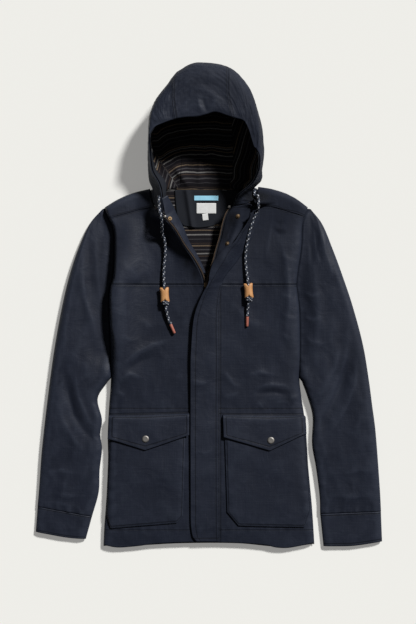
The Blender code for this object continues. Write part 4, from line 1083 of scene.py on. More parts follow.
# ------------------------------------------------------------------------- shoulder yokes
# A narrow piece of waxed cotton from the yoke seam over the shoulder to the back, cut
# round the foot of the hood. Felled over the upper front, it stands a little higher.
YOKE_WIDE, YOKE_LONG, YOKE_PROUD = 110, 38, .5
YOKE_TOP = 205.0                       # y of its corner at the armhole
YOKE_NECK = {"l": ((-117.5, 215), (-122.3, 232)), "r": ((93.5, 219), (99.5, 231))}

for side in NAMES:
    seam, shoulder = YOKE_SEAM[side], SHOULDER[side]
    x0, x1 = yoke_start(side), YOKE_CORNER[side]
    x2, x3 = float(SIDE[side](YOKE_TOP)), NECK[side][-1][0] + SIGN[side] * 1.2
    shares = np.array((0, .33, .66, 1))
    bottom = line_over(seam, x0 + (x1 - x0) * shares)
    top = line_over(shoulder, x2 + (x3 - x2) * shares)
    neck = path((x1, float(seam(x1))), *YOKE_NECK[side], (x3, float(shoulder(x3))))
    x, y = patch(spread(YOKE_WIDE, CELL, end=False), spread(YOKE_LONG, 2.0, start=False),
                 bottom, top, path(bottom(0.0), top(0.0)), neck)
    front_piece("yoke", side, x, y, YOKE_PROUD, rests_on=["back_panel"],
                seam=sewn(y - seam(x)))

# -------------------------------------------------------------------------- patch pockets
# Waxed cotton, one on each lower front, its turned edges sewn down on three sides and its
# bottom corners cut off. It stands a little proud in the middle, to hold something.
POCKET_WIDE, POCKET_LONG, POCKET_FULL, POCKET_ROW = 160, 200, 2.4, 4
POCKETS = {   # top line, bottom line with its cut corners
    "l": (((-206, -242), (-48, -240)), ((-212, -435), (-205, -464), (-67, -453),
                                        (-54, -438))),
    "r": (((200, -243), (32, -241)), ((211, -424), (200, -462), (62, -459), (38, -430))),
}


def corners(*points):
    """Straight-sided line through its points, by the share of its length."""
    points = np.array(points, float)
    return lambda t: walk(points, np.asarray(t, float) * distances(points)[-1])


def sewn_over(u, v, shape):
    """Places on a front between a shape's top line and its bottom line."""
    top, low = shape
    return patch(u, v, corners(*low), path(*top), path(low[0], top[0]),
                 path(low[-1], top[-1]))


for side, word in NAMES.items():
    u, v = spread(POCKET_WIDE, CELL), spread(POCKET_LONG, CELL, end=False)
    x, y = sewn_over(u, v, POCKETS[side])
    rim = np.minimum(np.minimum(u, 1 - u)[None] * POCKET_WIDE, v[:, None] * POCKET_LONG)
    proud = POCKET_FULL * quarter(rim, 26) + .9 * hills(x, y, 60, 31) * smooth(rim / 30)
    proud = proud + puckered(x + y, rim, 32, 9, 13, .35) * smooth(rim / 2)
    front_piece("pocket", side, x, y, CLOTH + GAP + LOOSE + proud,
                rests_on=["front_" + word], row=sewn(rim - POCKET_ROW))

# --------------------------------------------------------------------------- pocket flaps
# Double waxed cotton, sewn along the top and pointed at the bottom, with a row of stitches
# all round. It lies over the pocket's mouth and is held down by one snap.
FLAP_WIDE, FLAP_LONG, FLAP_ROW = 165, 60, 6
FLAPS = {   # top line, bottom line with its point
    "l": (((-206, -227), (-41, -223)), ((-207, -277), (-133, -300), (-41, -269))),
    "r": (((197, -227), (29, -226)), ((199, -267), (127, -301), (31, -273))),
}
FLAP_LIFT = POCKET_FULL + CLOTH + GAP + 2 * LOOSE       # over the pocket
SNAP_AT = {"l": (-132, -277), "r": (129, -280)}

for side, word in NAMES.items():
    u, v = spread(FLAP_WIDE, CELL), spread(FLAP_LONG, 2.0)
    x, y = sewn_over(u, v, FLAPS[side])
    down = (1 - v[:, None]) * FLAP_LONG
    lift = CLOTH + GAP + LOOSE + FLAP_LIFT * (1 - smooth((v - .86) / .14))[:, None]
    rim = np.minimum(np.minimum(u, 1 - u)[None] * FLAP_WIDE, v[:, None] * 55)
    lift = lift - .5 * (1 - quarter(rim, 3)) + .5 * hills(x, y, 40, 33) * smooth(rim / 10)
    lift = lift + puckered(x, np.abs(rim - FLAP_ROW), 34, 5, 11, .3)
    press = np.hypot(x - SNAP_AT[side][0], y - SNAP_AT[side][1])
    lift = lift - .6 * np.exp(-(press / 16) ** 2) + 1.3 * (1 - v[:, None]) ** 2
    # The flap's rows paint shade into its stitch grooves, and a line of painted shade along
    # its top edge.
    front_piece("pocket_flap", side, x, y, lift, rests_on=["pocket_" + word],
                row=sewn(np.minimum(rim, down) - FLAP_ROW, down - .8))

# ------------------------------------------------------------------------ snaps and studs
# Pressed pewter caps hold the pocket flaps. Brass studs at the neck face the missing
# halves inside the storm flap. All are set a little into the cloth, and each flap dips in a
# shallow dimple under its snap.
STUDS = ("stud_right_upper", (60, 186)), ("stud_right_lower", (38, 130))
STUD_LEFT, STUD_LEFT_AXIS = (-80.2, 183.0, 55.5), (.35, .3, 1)      # on the open facing
# radius and height, from the middle of the cap round to the middle of its underside
SNAP_PROFILE = ((0, 2.3), (3.0, 2.32), (5.0, 2.4), (5.5, 2.35), (5.8, 2.0), (6.4, 1.9),
                (7.1, 1.4), (7.4, .7), (7.4, 0), (0, 0))
STUD_PROFILE = ((0, 2.6), (1.2, 2.5), (1.7, 2.0), (1.8, 1.0), (2.6, .8), (4.2, .9),
                (4.6, .5), (4.6, 0), (0, 0))


def metal(name, colour, tarnish):
    """Cast or pressed metal with duller patches."""
    finish = Finish(name, colour, Metallic=1.0, Roughness=0.5)
    dull = finish.noise(finish.place(), 700.0, 4.0, .6)
    finish.show("Base Color", finish.mix((dull * 2.2 - .8).within(), colour, tarnish))
    finish.show("Roughness", dull * .25 + .45)
    finish.bump((finish.noise(finish.place(), 2600.0, 2.0), .00006))
    return finish


pewter = metal("pewter", (.300, .285, .265), (.170, .160, .150))
brass = metal("brass", (.200, .140, .085), (.160, .105, .055))


def drop(pieces, places):
    """Points and normals where places (x, y) lie on the topmost of some named pieces."""
    graph = bpy.context.evaluated_depsgraph_get()
    trees = [BVHTree.FromObject(bpy.data.objects[name], graph) for name in pieces]
    found = []
    for x, y in np.asarray(places, float)[:, :2]:
        start = Vector((x, y, 0) - CENTRE) * MM + Vector((0, 0, .3))
        hits = [tree.ray_cast(start, Vector((0, 0, -1))) for tree in trees]
        hits = [hit for hit in hits if hit[0]]
        if hits:
            found.append(max(hits, key=lambda hit: hit[0].z)[:2])
    return found


for side, word in NAMES.items():
    point, normal = drop(["pocket_flap_" + word], [SNAP_AT[side]])[0]
    cap = turned("snap_" + word, pewter, point / MM - normal * .3, normal, SNAP_PROFILE, 28)
    belongs(cap, "pewter", "snap_" + side)
for name, spot in STUDS:
    point, normal = drop(["chest_right"], [spot])[0]
    stud = turned(name, brass, point / MM - normal * .1, normal, STUD_PROFILE, 24)
    belongs(stud, "brass", name.replace("right", "r"))
stud = turned("stud_left", brass, STUD_LEFT, STUD_LEFT_AXIS, STUD_PROFILE, 24)
belongs(stud, "brass", "stud_l")

# --------------------------------------------------------------------------- zip and tape
# A brass zip on navy tape. Its closed length runs under the storm flap to the hem, and
# above the slider each half follows the free edge of its own front.
ZIP_OUT, ZIP_TAPE = 5.0, 1.0           # how far the tape shows, and its thickness
ZIP_SPAN = {"l": (50, 181), "r": (50, 203)}             # of y, where each half is open
TOOTH_PITCH, TOOTH_SIZE = 2.6, (1.6, 2.1, 1.5)          # the size along, across and up
SHUT_SPAN, SHUT_PITCH, SHUT_SIZE = (-470, 38), 2.2, (1.3, 6.4, 1.8)
STOP_PROFILE = (0, 1.6), (2.4, 1.5), (3.3, .6), (3.2, -.8), (0, -.9)
SLIDER_PLACE, SLIDER_SIZE, SLIDER_ROUND = (-6, 46.5), (8.0, 10.0, 2.0), .7
UP = (0.0, 0.0, 1.0)


def repeater(name, shape):
    """A node tree that sets one small shape again and again along lines of points.

    Each shape's X lies along the line, and its Z along the points' own "out".
    """
    tree = bpy.data.node_groups.new(name, "GeometryNodeTree")
    ports = tree.interface
    ports.new_socket("Geometry", in_out="INPUT", socket_type="NodeSocketGeometry")
    for label, kind in (("Pitch", "Float"), ("Size", "Vector"), ("Tilt", "Float"),
                        ("Seed", "Int"), ("Finish", "Material")):
        ports.new_socket(label, in_out="INPUT", socket_type="NodeSocket" + kind)
    ports.new_socket("Geometry", in_out="OUTPUT", socket_type="NodeSocketGeometry")

    def add(kind, settings=None, **links):
        node = tree.nodes.new(kind)
        for key, value in (settings or {}).items():
            setattr(node, key, value)
        for key, value in links.items():
            key = int(key[1]) if key in ("i0", "i1", "i2") else key.replace("_", " ")
            if isinstance(value, bpy.types.NodeSocket):
                tree.links.new(value, node.inputs[key])
            else:
                node.inputs[key].default_value = value
        return node

    given = add("NodeGroupInput").outputs
    line = add("GeometryNodeMeshToCurve", Mesh=given["Geometry"])
    spaced = add("GeometryNodeResampleCurve", {"mode": "LENGTH"}, Curve=line.outputs[0],
                 Length=given["Pitch"])
    out = add("GeometryNodeInputNamedAttribute", {"data_type": "FLOAT_VECTOR"}, Name="out")
    stand = add("FunctionNodeAlignRotationToVector", {"axis": "Z"},
                Vector=out.outputs["Attribute"])
    ahead = add("FunctionNodeAlignRotationToVector", {"axis": "X", "pivot_axis": "Z"},
                Rotation=stand.outputs[0], Vector=add("GeometryNodeInputTangent").outputs[0])
    lean = add("FunctionNodeRandomValue", {"data_type": "FLOAT"}, Seed=given["Seed"])
    swing = add("ShaderNodeMath", {"operation": "MULTIPLY_ADD"}, i0=lean.outputs[1], i1=2.0,
                i2=-1.0)
    amount = add("ShaderNodeMath", {"operation": "MULTIPLY"}, i0=swing.outputs[0],
                 i1=given["Tilt"])
    angles = add("ShaderNodeCombineXYZ", Z=amount.outputs[0])
    tilt = add("FunctionNodeEulerToRotation", Euler=angles.outputs[0])
    turn = add("FunctionNodeRotateRotation", {"rotation_space": "LOCAL"},
               Rotation=ahead.outputs[0], Rotate_By=tilt.outputs[0])
    form = (add("GeometryNodeMeshUVSphere", Segments=6, Rings=4, Radius=0.5)
            if shape == "bead" else add("GeometryNodeMeshCube"))
    smooth_form = add("GeometryNodeSetShadeSmooth", Geometry=form.outputs[0],
                      Shade_Smooth=shape == "bead")
    many = add("GeometryNodeInstanceOnPoints", Points=spaced.outputs[0],
               Instance=smooth_form.outputs[0], Rotation=turn.outputs[0],
               Scale=given["Size"])
    real = add("GeometryNodeRealizeInstances", Geometry=many.outputs[0])
    done = add("GeometryNodeSetMaterial", Geometry=real.outputs[0],
               Material=given["Finish"])
    add("NodeGroupOutput", Geometry=done.outputs[0])
    return tree


def along_lines(name, tree, finish, lines, pitch, size, tilt, seed):
    """One piece of shapes set along lines, each given as its points and the way out."""
    points = np.concatenate([p for p, _ in lines])
    out = np.concatenate([n for _, n in lines])
    edges, start = [], 0
    for p, _ in lines:
        edges += [(start + i, start + i + 1) for i in range(len(p) - 1)]
        start += len(p)
    mesh = bpy.data.meshes.new(name)
    mesh.from_pydata((points * MM).tolist(), edges, [])
    mesh.attributes.new("out", "FLOAT_VECTOR", "POINT").data.foreach_set(
        "vector", out.astype(np.float32).ravel())
    obj = link_mesh(name, mesh, finish)
    rows = obj.modifiers.new("rows", "NODES")
    rows.node_group = tree
    given = {"Pitch": pitch * MM, "Size": [s * MM for s in size], "Tilt": tilt,
             "Seed": seed, "Finish": finish.material}
    for port in tree.interface.items_tree:
        if port.in_out == "INPUT" and port.name in given:
            rows[port.identifier] = given[port.name]
    return applied(obj)


def open_edge(half, shares):
    """Points of a front's open edge, its height, and the way out from the cloth."""
    line = line_of(EDGE[half], *ZIP_SPAN[half], 10)
    p = line(shares)
    along = unit(line(np.clip(shares + .02, 0, 1)) - line(np.clip(shares - .02, 0, 1)))
    top = front_base(half, p[:, 0], p[:, 1])
    out = np.stack([along[:, 1], -along[:, 0]], 1) * -SIGN[half]
    return p, top, out


teeth = repeater("zip teeth", "cube")
zip_brass = metal("zip brass", (.150, .108, .078), (.110, .075, .050))
for side, word in NAMES.items():
    p, top, out = open_edge(side, np.linspace(0, 1, 80))
    rows = np.array((.6, 1.6, 3.0, ZIP_OUT - .8, ZIP_OUT))
    grid = np.dstack([p[:, :1] + out[:, :1] * rows, p[:, 1:] + out[:, 1:] * rows,
                      np.repeat((top - .35)[:, None], len(rows), 1)
                      + .25 * np.sin(rows / 5 * np.pi)])
    cloth("zip_tape_" + word, cotton, "brass", "zip_" + side, grid, ZIP_TAPE,
          flip=side == "r", declared=False)
    line = np.c_[p + out * (ZIP_OUT - .9), top + .35] - CENTRE
    belongs(along_lines("zip_teeth_" + word, teeth, zip_brass,
                        [(line, np.tile(UP, (len(line), 1)))], TOOTH_PITCH, TOOTH_SIZE,
                        .05, 3), "brass", "zip_" + side)
    stop = turned("zip_stop_" + word, pewter, (line[-1] + (0, 0, .9)).tolist(), UP,
                  STOP_PROFILE, 12)
    belongs(stop, "brass", "zip_" + side)

ys = np.linspace(*SHUT_SPAN, 260)
left, right = EDGE["l"](ys) + .4, EDGE["r"](ys) - .4
closed = np.stack([np.c_[left, ys, front_base("l", left - .4, ys)],
                   np.c_[right, ys, front_base("r", right + .4, ys)]], 1)
cloth("zip_tape_closed", cotton, "brass", "zip_closed", closed, ZIP_TAPE, declared=False)
line = closed.mean(1) + (0, 0, .5) - CENTRE
belongs(along_lines("zip_teeth_closed", teeth, zip_brass,
                    [(line, np.tile(UP, (len(line), 1)))], SHUT_PITCH, SHUT_SIZE, 0.0, 4),
        "brass", "zip_closed")


def block(name, finish, centre, size, round_by):
    """Small block with rounded edges."""
    bm = bmesh.new()
    bmesh.ops.create_cube(bm, size=1.0, matrix=Matrix.Diagonal((*size, 1.0)))
    bmesh.ops.bevel(bm, geom=bm.edges[:], offset=round_by, segments=2, affect="EDGES",
                    profile=.5)
    bm.transform(Matrix.Scale(MM, 4) @ Matrix.Translation(Vector(centre)))
    mesh = bpy.data.meshes.new(name)
    bm.to_mesh(mesh)
    bm.free()
    mesh.shade_smooth()
    return link_mesh(name, mesh, finish)


slider_top = float(front_base("l", -11.0, 43.0)) + SLIDER_SIZE[2]
slider = block("zip_slider_brass", brass, (*SLIDER_PLACE, slider_top), SLIDER_SIZE,
               SLIDER_ROUND)
belongs(slider, "brass", "zip_slider")

# ---------------------------------------------------------------------- left front facing
# The turned-in edge of the left front, waxed cotton too, seen inside the open neck. It is
# widest at the hood and runs out at the point of the opening.
FACING_TOP_EDGE = (-96.2, 222, 60.5), (-85.5, 228, 54)     # from the rim inwards
facing_width = curve((0, 9), (.25, 12), (.5, 15), (.75, 20), (.9, 25), (1, 31))
facing_drop = curve((0, 2), (.5, 10), (1, 18))
t, across = np.linspace(.1, 1, 56), np.linspace(0, 1, 14)
p, top, out = open_edge("l", t)
reach = ZIP_OUT + .6 + across * (facing_width(t)[:, None] - ZIP_OUT - .6)
fall = .8 + facing_drop(t)[:, None] * across ** 1.3
facing = np.dstack([p[:, :1] + out[:, :1] * reach, p[:, 1:] + out[:, 1:] * reach,
                    top[:, None] - fall + .3 * hills(reach, t[:, None] * 130, 16, 41)])
rim, inside = np.array(FACING_TOP_EDGE, float)
on = np.linspace(0, 1, 12)[1:, None, None]
at_hood = rim + (inside - rim) * across[:, None]
facing = np.concatenate([facing, facing[-1:] * (1 - on) + at_hood * on])
cloth("facing_left", waxed, "waxed_cotton", "facing_l", facing, FACING,
      rests_on=["back_lining_cloth"])

# ----------------------------------------------------------------------------- storm flap
# Double waxed cotton over the zip, sewn to the right front and loose along its left edge,
# which rises and rolls away from the front towards the neck.
STORM_WIDE, STORM_LONG, STORM_ROW = 60, 710, 10
STORM_FREE = curve((-491, -26), (-482, -33), (-462, -37), (-430, -38), (-119, -38),
                   (-71, -36), (-33, -33), (-11, -28), (21, -16), (52, 0), (84, 15),
                   (118, 35), (136, 50), (160, 62), (181, 72), (202, 76))
STORM_SEWN = curve((-492, 22), (-119, 22), (44, 27), (97, 62), (136, 88), (175, 104),
                   (197, 108))
STORM_RAISED = curve((-490, 2), (-300, 3.5), (-150, 5), (-50, 7), (0, 9.5), (44, 12),
                     (97, 15), (136, 15), (181, 17), (202, 17))
STORM_CREASES = (
    (-1.6, 5, ((70, 166), (84, 158), (96, 162))),
    (1.2, 6, ((-36, -150), (-18, -160), (6, -158))),
    (1.0, 6, ((-34, -300), (-10, -306), (14, -300))),
)
free = line_through(STORM_FREE, (-491, -482, -462, -430, -119, -71, -33, -11, 21, 52, 84,
                                 118, 136, 160, 181, 201))
sewn_edge = line_through(STORM_SEWN, (-492, -119, 44, 97, 136, 175, 197))
x, y = patch(spread(STORM_WIDE, 2.2), spread(STORM_LONG, CELL), path((-26, -491), (22, -492)),
             path(free(1.0), sewn_edge(1.0)), free, sewn_edge)
share = np.clip((STORM_SEWN(y) - x) / (STORM_SEWN(y) - STORM_FREE(y)), 0, 1)
lift = CLOTH + GAP + LOOSE + .2 + STORM_RAISED(y) * share ** 1.3
from_free, from_sewn = (1 - share) * STORM_WIDE, share * STORM_WIDE
tucked = smooth((y - 40) / 20)         # its sewn edge goes into the chest seam there
lift = lift - CLOTH * .8 * tucked * (1 - smooth(share / .12))
lift = lift - .5 * (1 - quarter(np.minimum(from_free, from_sewn), 3))
lift = lift + puckered(y, np.abs(from_free - STORM_ROW), 42, 5, 12, .35)
lift = lift + puckered(y, from_sewn, 43, 6, 12, .35) * (1 - tucked)
lift = lift + .5 * hills(x, y * .8, 46, 44) * smooth(from_free / 8)
lift = lift + creased(STORM_CREASES, x, y)
cloth("storm_flap_cloth", waxed, "waxed_cotton", "storm_flap", on_front("r", x, y, lift),
      CLOTH, rests_on=["front_right", "chest_right"],
      row=sewn(from_free - STORM_ROW, from_sewn - 1 + 40 * tucked,
               from_sewn - 7 + 40 * tucked, y + 485))

# -------------------------------------------------------------------------------- sleeves
# Two-piece sleeves of waxed cotton lie beside the body: the upper half over the under
# half, sewn at the front and back seams. Creases run down from the armhole and fold at
# the elbow.
SLEEVE_WIDE, SLEEVE_LONG = 125, 640
SLEEVES = {   # lines from the shoulder down, then the cuff's seam and end
    "l": {
        "outer": ((-224, 202), (-249, 173), (-272, 124), (-293, 61), (-310, -13),
                  (-325, -98), (-338, -195), (-350, -302), (-356, -385), (-359, -420)),
        "inner": ((-219.5, 205.5), (-215.5, 189), (-202.4, 162), (-199.8, 117), (-202.4, 61),
                  (-209.4, 36), (-210.6, 5), (-209, -40), (-207.9, -100), (-208.5, -150),
                  (-233, -193), (-224, -239), (-228, -270), (-224, -297), (-229, -344),
                  (-231, -390), (-245, -441)),
        "cuff": ((-359, -420), (-245, -441)),
        "end": ((-363, -473), (-296, -485), (-258, -488)),
    },
    "r": {
        "outer": ((213, 203), (237, 172), (258.5, 121), (277.5, 70), (301, 0), (323, -83),
                  (335, -155), (342, -208), (349, -262), (358, -381), (360.5, -430)),
        "inner": ((209.8, 204), (202.5, 188), (195.6, 124), (187.6, 67), (186.6, 40),
                  (191.4, -11), (192.4, -115), (193, -150), (205, -186), (217, -230),
                  (216, -290), (224, -337), (232, -400), (233, -435)),
        "cuff": ((360.5, -430), (233, -435)),
        "end": ((363, -493), (302, -502), (240, -503)),
    },
}
# height of the upper half away from its seams, by y
SLEEVE_CROWN = curve((-500, 11), (-430, 12), (-350, 15), (-200, 19), (0, 21), (120, 20),
                     (190, 13), (205, 9.5))
SLEEVE_ROUND = 15.0
SLEEVE_SLOPE = {"l": 85.0, "r": 40.0}      # width of its rise from the armhole seam
SLEEVE_CREASES = (
    (3.4, 10, ((-262, 130), (-265, 69), (-259, 19), (-244, -33), (-230, -80))),
    (2.2, 8, ((-240, 176), (-236, 123), (-234, 69), (-221, -36))),
    (-2.0, 8, ((-250, 150), (-250, 70), (-240, 0))),
    (-5.2, 12, ((-303, -100), (-297, -170), (-282, -226), (-259, -261), (-225, -296))),
    (2.6, 9, ((-282, -130), (-274, -190), (-252, -240), (-228, -262))),
    (2.0, 10, ((-318, -190), (-305, -240), (-282, -280), (-250, -312))),
    (1.5, 10, ((-285, 40), (-300, -40), (-306, -110))),
    (1.2, 9, ((-350, -350), (-310, -343), (-270, -352))),
    (1.2, 8, ((-345, -388), (-305, -396), (-250, -398))),
    (1.0, 6, ((-350, -410), (-310, -413), (-262, -426))),
    (3.2, 10, ((238, 165), (242, 118), (254, 78), (262, 40))),
    (-2.2, 8, ((206, 150), (214, 120), (216, 80))),
    (-2.0, 7, ((222, 168), (226, 120), (238, 84))),
    (1.8, 7, ((196, 30), (214, 20), (236, 26))),
    (1.8, 7, ((196, -20), (216, -30), (240, -22))),
    (1.6, 7, ((198, -60), (216, -76), (246, -80))),
    (-6.0, 13, ((300, -60), (294, -110), (280, -155), (255, -213), (226, -275))),
    (3.0, 10, ((312, -100), (304, -160), (284, -215), (255, -262))),
    (2.4, 9, ((278, -70), (262, -130), (236, -180), (212, -205))),
    (1.4, 10, ((300, 40), (318, -40), (322, -90))),
    (1.2, 9, ((352, -350), (318, -343), (270, -352))),
    (1.2, 8, ((352, -392), (306, -400), (248, -396))),
)


def sleeve_flat(half, step):
    """Places of a sleeve's half, its width in each row, and the shares u and v."""
    lines = SLEEVES[half]
    outer, inner = path(*lines["outer"]), path(*lines["inner"])
    u, v = spread(SLEEVE_WIDE, step), spread(SLEEVE_LONG, step, False, False) * .9997
    x, y = patch(u, v, path(inner(0.0), outer(0.0)), path(*lines["cuff"][::-1]), inner,
                 outer)
    return x, y, np.hypot(x[:, -1] - x[:, 0], y[:, -1] - y[:, 0])[:, None], u, v


for side, word in NAMES.items():
    x, y, width, u, v = sleeve_flat(side, CELL)
    meet = SIDE[side](y[:, :1]) - SIGN[side] * 1.6 - x[:, :1]     # under the armhole seam
    x = x + meet * smooth((y[:, :1] - UNDERARM + 10) / 15) * (1 - u) ** 2
    from_inner, from_cuff = u * width, (1 - v[:, None]) * SLEEVE_LONG
    rim = np.minimum(u, 1 - u) * width
    valley = SEAM_TOP + (VALLEY[side] - SEAM_TOP) * smooth((y - UNDERARM) / 40)
    valley = SEAM_TOP + (valley - SEAM_TOP) * smooth((204 - y) / 20)
    base = valley + (SEAM_TOP - valley) * u
    base = base - 2.6 * (1 - smooth(from_inner / 5)) * smooth((y - UNDERARM) / 20)
    rise = quarter(from_inner, SLEEVE_ROUND)
    rise = rise + (smooth(from_inner / SLEEVE_SLOPE[side]) - rise) * smooth(
        (y - UNDERARM) / 60)
    full = np.minimum(rise, quarter((1 - u) * width, SLEEVE_ROUND))
    z = base + (np.maximum(SLEEVE_CROWN(y), base + .5) - base) * full
    relief = creased(SLEEVE_CREASES, x, y)
    relief += 1.0 * hills(u[None] * 4.5, v[:, None] * 9.0, 1.0, 51) + .5 * hills(x, y, 32, 52)
    relief += .4 * hills(from_inner, y * .5, 15, 53)
    relief *= smooth(rim / 20) * smooth(v * SLEEVE_LONG / 25)[:, None]
    relief += puckered(y, from_inner, 54, 14, 14, .8) * smooth(rim / 5)
    relief += puckered(x, from_cuff, 55, 12, 13, .8) * smooth(rim / 8)
    cloth(f"sleeve_{word}_top", waxed, "waxed_cotton", f"sleeve_{side}_top",
          np.dstack([x, y, z + relief]), CLOTH, flip=side == "r",
          rests_on=[f"sleeve_{side}_under"])

    x, y, width, u, v = sleeve_flat(side, 8)
    lift = np.maximum((1 - quarter(u * width, CURL)) * smooth((UNDERARM - y) / 30),
                      1 - quarter((1 - u) * width, CURL))
    cloth(f"sleeve_{word}_under", waxed, "waxed_cotton", f"sleeve_{side}_under",
          np.dstack([x, y, SEAM_BACK * lift]), CLOTH, flip=side == "l")

# ---------------------------------------------------------------------------------- cuffs
# A plain double band of waxed cotton sewn round the end of each sleeve, with a row of
# stitches along each edge. It lies flat and slightly open.
CUFF_WIDE, CUFF_LONG, CUFF_ROWS = 118, 52, (3, 48)
CUFF_SEAM, CUFF_CROWN, CUFF_FALL = 5.5, 12.2, 1.4       # heights; it gets lower to its end

for side, word in NAMES.items():
    lines = SLEEVES[side]
    seam, end = path(*lines["cuff"][::-1]), path(*lines["end"][::-1])
    shares = spread(CUFF_WIDE, 2.4)
    v = np.linspace(.004, 1, 26)[:, None]
    loop = np.r_[shares, shares[-2:0:-1]]
    under = np.r_[np.zeros(len(shares)), np.ones(len(shares) - 2)].astype(bool)
    flat = seam(loop)[None] * (1 - v[..., None]) + end(loop)[None] * v[..., None]
    rim = np.minimum(loop, 1 - loop) * np.linalg.norm(end(1.0) - end(0.0))
    full = CUFF_CROWN - CUFF_FALL * v
    upper = CUFF_SEAM + (full - CUFF_SEAM) * quarter(rim, 14)
    upper = upper + .5 * hills(loop * CUFF_WIDE, v * 55, 24, 61) * smooth(rim / 12)
    upper = upper + puckered(loop * CUFF_WIDE, np.abs(v * CUFF_LONG - 4), 62, 6, 12, .4)
    z = np.where(under, CUFF_SEAM * (1 - quarter(rim, 9)), upper)
    cloth("cuff_" + word, waxed, "waxed_cotton", "cuff_" + side, np.dstack([flat, z]), CLOTH,
          flip=side == "r", ring=True,
          row=sewn(*[v * CUFF_LONG - row + 0 * z for row in CUFF_ROWS]))

# ----------------------------------------------------------------------------------- hood
# Two sides and a centre panel of waxed cotton, joined by two felled seams. A channel
# with the cord in it runs round the opening. The hood stands propped open on its back.
CHANNEL = 28.0                         # width of the channel
SEAMS = (              # the two long seams, by share of the way across, neck to brim
    (.345, .655), (.345, .655), (.345, .655), (.345, .655), (.345, .64), (.345, .62),
    (.343, .60), (.337, .575), (.314, .585), (.278, .61), (.243, .677))
HOOD_ROWS = (   # left rim, right rim, middle of the back, bulge left and right, squareness
    ((-98, 226, 60), (62, 226, 67), (-11, 252, 0), 36, 38, 3.2),
    ((-104, 252, 59), (90, 250, 80), (-10, 268, 0), 32, 34, 3.2),
    ((-118, 278, 61), (103, 276, 94), (-10, 292, 0), 18, 20, 3.2),
    ((-122, 312, 72), (105, 298, 100), (-9, 332, 0), 15, 22, 3.1),
    ((-122.5, 324, 79), (104, 305, 101), (-9, 400, 2), 13, 19, 2.8),
    ((-123, 331, 82), (102, 310, 101), (-7, 466, 16), 11, 14, 2.5),
    ((-123, 336, 85), (100, 313, 101), (-5, 499, 58), 9, 10, 2.25),
    ((-123, 341, 88), (98, 316, 101), (-3, 486, 89), 7, 7, 2.15),
    ((-123, 345, 90), (96, 319, 101), (0, 442, 97), 4, 5, 2.05),
    ((-123, 349, 92), (94, 322, 101), (4, 392, 99), 1, 2, 2.0),
)
# how hard the hood's left side is drawn in, and its right side let out, by y
HOOD_IN = ((390, 401, 411, 422, 432, 442, 453, 463, 473, 484, 494, 505),
           (0, .13, .33, .43, .74, 1.18, 1.7, 1.97, 2.3, 2.63, 4.3, 6))
HOOD_LET_OUT = (380, 405, 432, 453, 463, 473, 484, 494), (0, -.2, -.25, -.1, 0, .5, 1.3, 4)
HOOD_MIDDLE = -5.0
HOOD_CREASES = (   # seen from above
    (1.8, 5, ((-24, 428), (-19, 408), (-12, 386))),
    (-1.6, 4, ((-14, 424), (-8, 404), (-4, 390))),
    (.8, 8, ((-60, 462), (-20, 470), (20, 462), (44, 466))),
    (-.6, 6, ((-56, 446), (-16, 452), (24, 444))),
    (-3.6, 4, ((58, 234), (76, 226), (95, 224))),
    (2.8, 4, ((62, 227), (80, 220), (98, 217))),
    (-3.2, 4, ((66, 219), (82, 214), (96, 210))),
    (-3.0, 4, ((82, 248), (92, 236), (98, 222))),
    (2.4, 4, ((74, 240), (84, 231), (92, 220))),
    (1.4, 5, ((-112, 372), (-98, 388), (-84, 394))),
    (1.3, 4, ((-104, 366), (-92, 378), (-78, 384))),
    (1.2, 6, ((-100, 404), (-84, 420), (-80, 440))),
    (.8, 6, ((48, 398), (62, 418), (64, 440))),
    (.7, 6, ((58, 384), (76, 400), (82, 420))),
    (.8, 6, ((-4, 396), (10, 410), (18, 430))),
    (1.5, 6, ((84, 340), (96, 356), (98, 378))),
)
CORD_BULGE = (14.0, 7.0, .4)           # the cord in the channel: from the rim, width, rise
HOOD_DEEPEST = -.9                     # no fold goes deeper, into the lining


def hood_foot():
    """Foot of the hood: over both fronts, round the shoulders and along the back."""
    feet = {}
    for half in NECK:
        x, y = np.array(NECK[half][:-1], float).T
        feet[half] = np.c_[x, y, front_base(half, x, np.minimum(y, 238)) + .5]
    floor = ((-121.2, 243, 7), (-116, 244.6, 1.6), (-106, 244.4, 0), (-60, 243.2, 0),
             (-12, 243, 0), (45, 243.6, 0), (86, 246.4, 0), (96, 247.6, 1.6), (101, 246, 8))
    return np.concatenate([feet["l"], floor, feet["r"][::-1]])


def hood_section(left, right, middle, bulge_l, bulge_r, square):
    left, right, middle = (np.array(p, float) for p in (left, right, middle))
    angle = np.linspace(0, np.pi, 49)[:, None]
    c, s = np.cos(angle), np.maximum(np.sin(angle), 0)
    across = np.sign(c) * np.abs(c) ** (2 / square)
    points = ((left + right) / 2 + (left - right) / 2 * across
              + (middle - (left + right) / 2) * s ** (2 / square))
    points[:, :1] -= np.where(c > 0, bulge_l, -bulge_r) * np.abs(np.sin(2 * angle))
    x, y = points[:, 0] - HOOD_MIDDLE, points[:, 1]
    pull = np.where(x < 0, np.interp(y, *HOOD_IN), np.interp(y, *HOOD_LET_OUT))
    points[:, 0] += pull / 1000 * x * x
    points[:, 2] = np.maximum(points[:, 2], 0)
    return points


BRIM = curve((-123, 350), (-110, 365), (-94, 372), (-74, 379), (-54, 383), (-23, 385),
             (-3, 390), (10, 394), (22, 392), (38, 386), (55, 381), (71, 376), (77, 367),
             (83, 352), (89, 331), (93, 321))
SECTIONS = [hood_foot()] + [hood_section(*row) for row in HOOD_ROWS]
brim_off = BRIM(SECTIONS[-1][:, 0]) - SECTIONS[-1][:, 1]
for points, share in zip(SECTIONS[-3:], (.15, .5, 1.0)):
    points[1:-1, 1] += brim_off[1:-1] * share
LAST = len(SECTIONS) - 1
BRIM_FOLD = (8.5, -122.8)   # past this s, the cloth stays to the right of this x


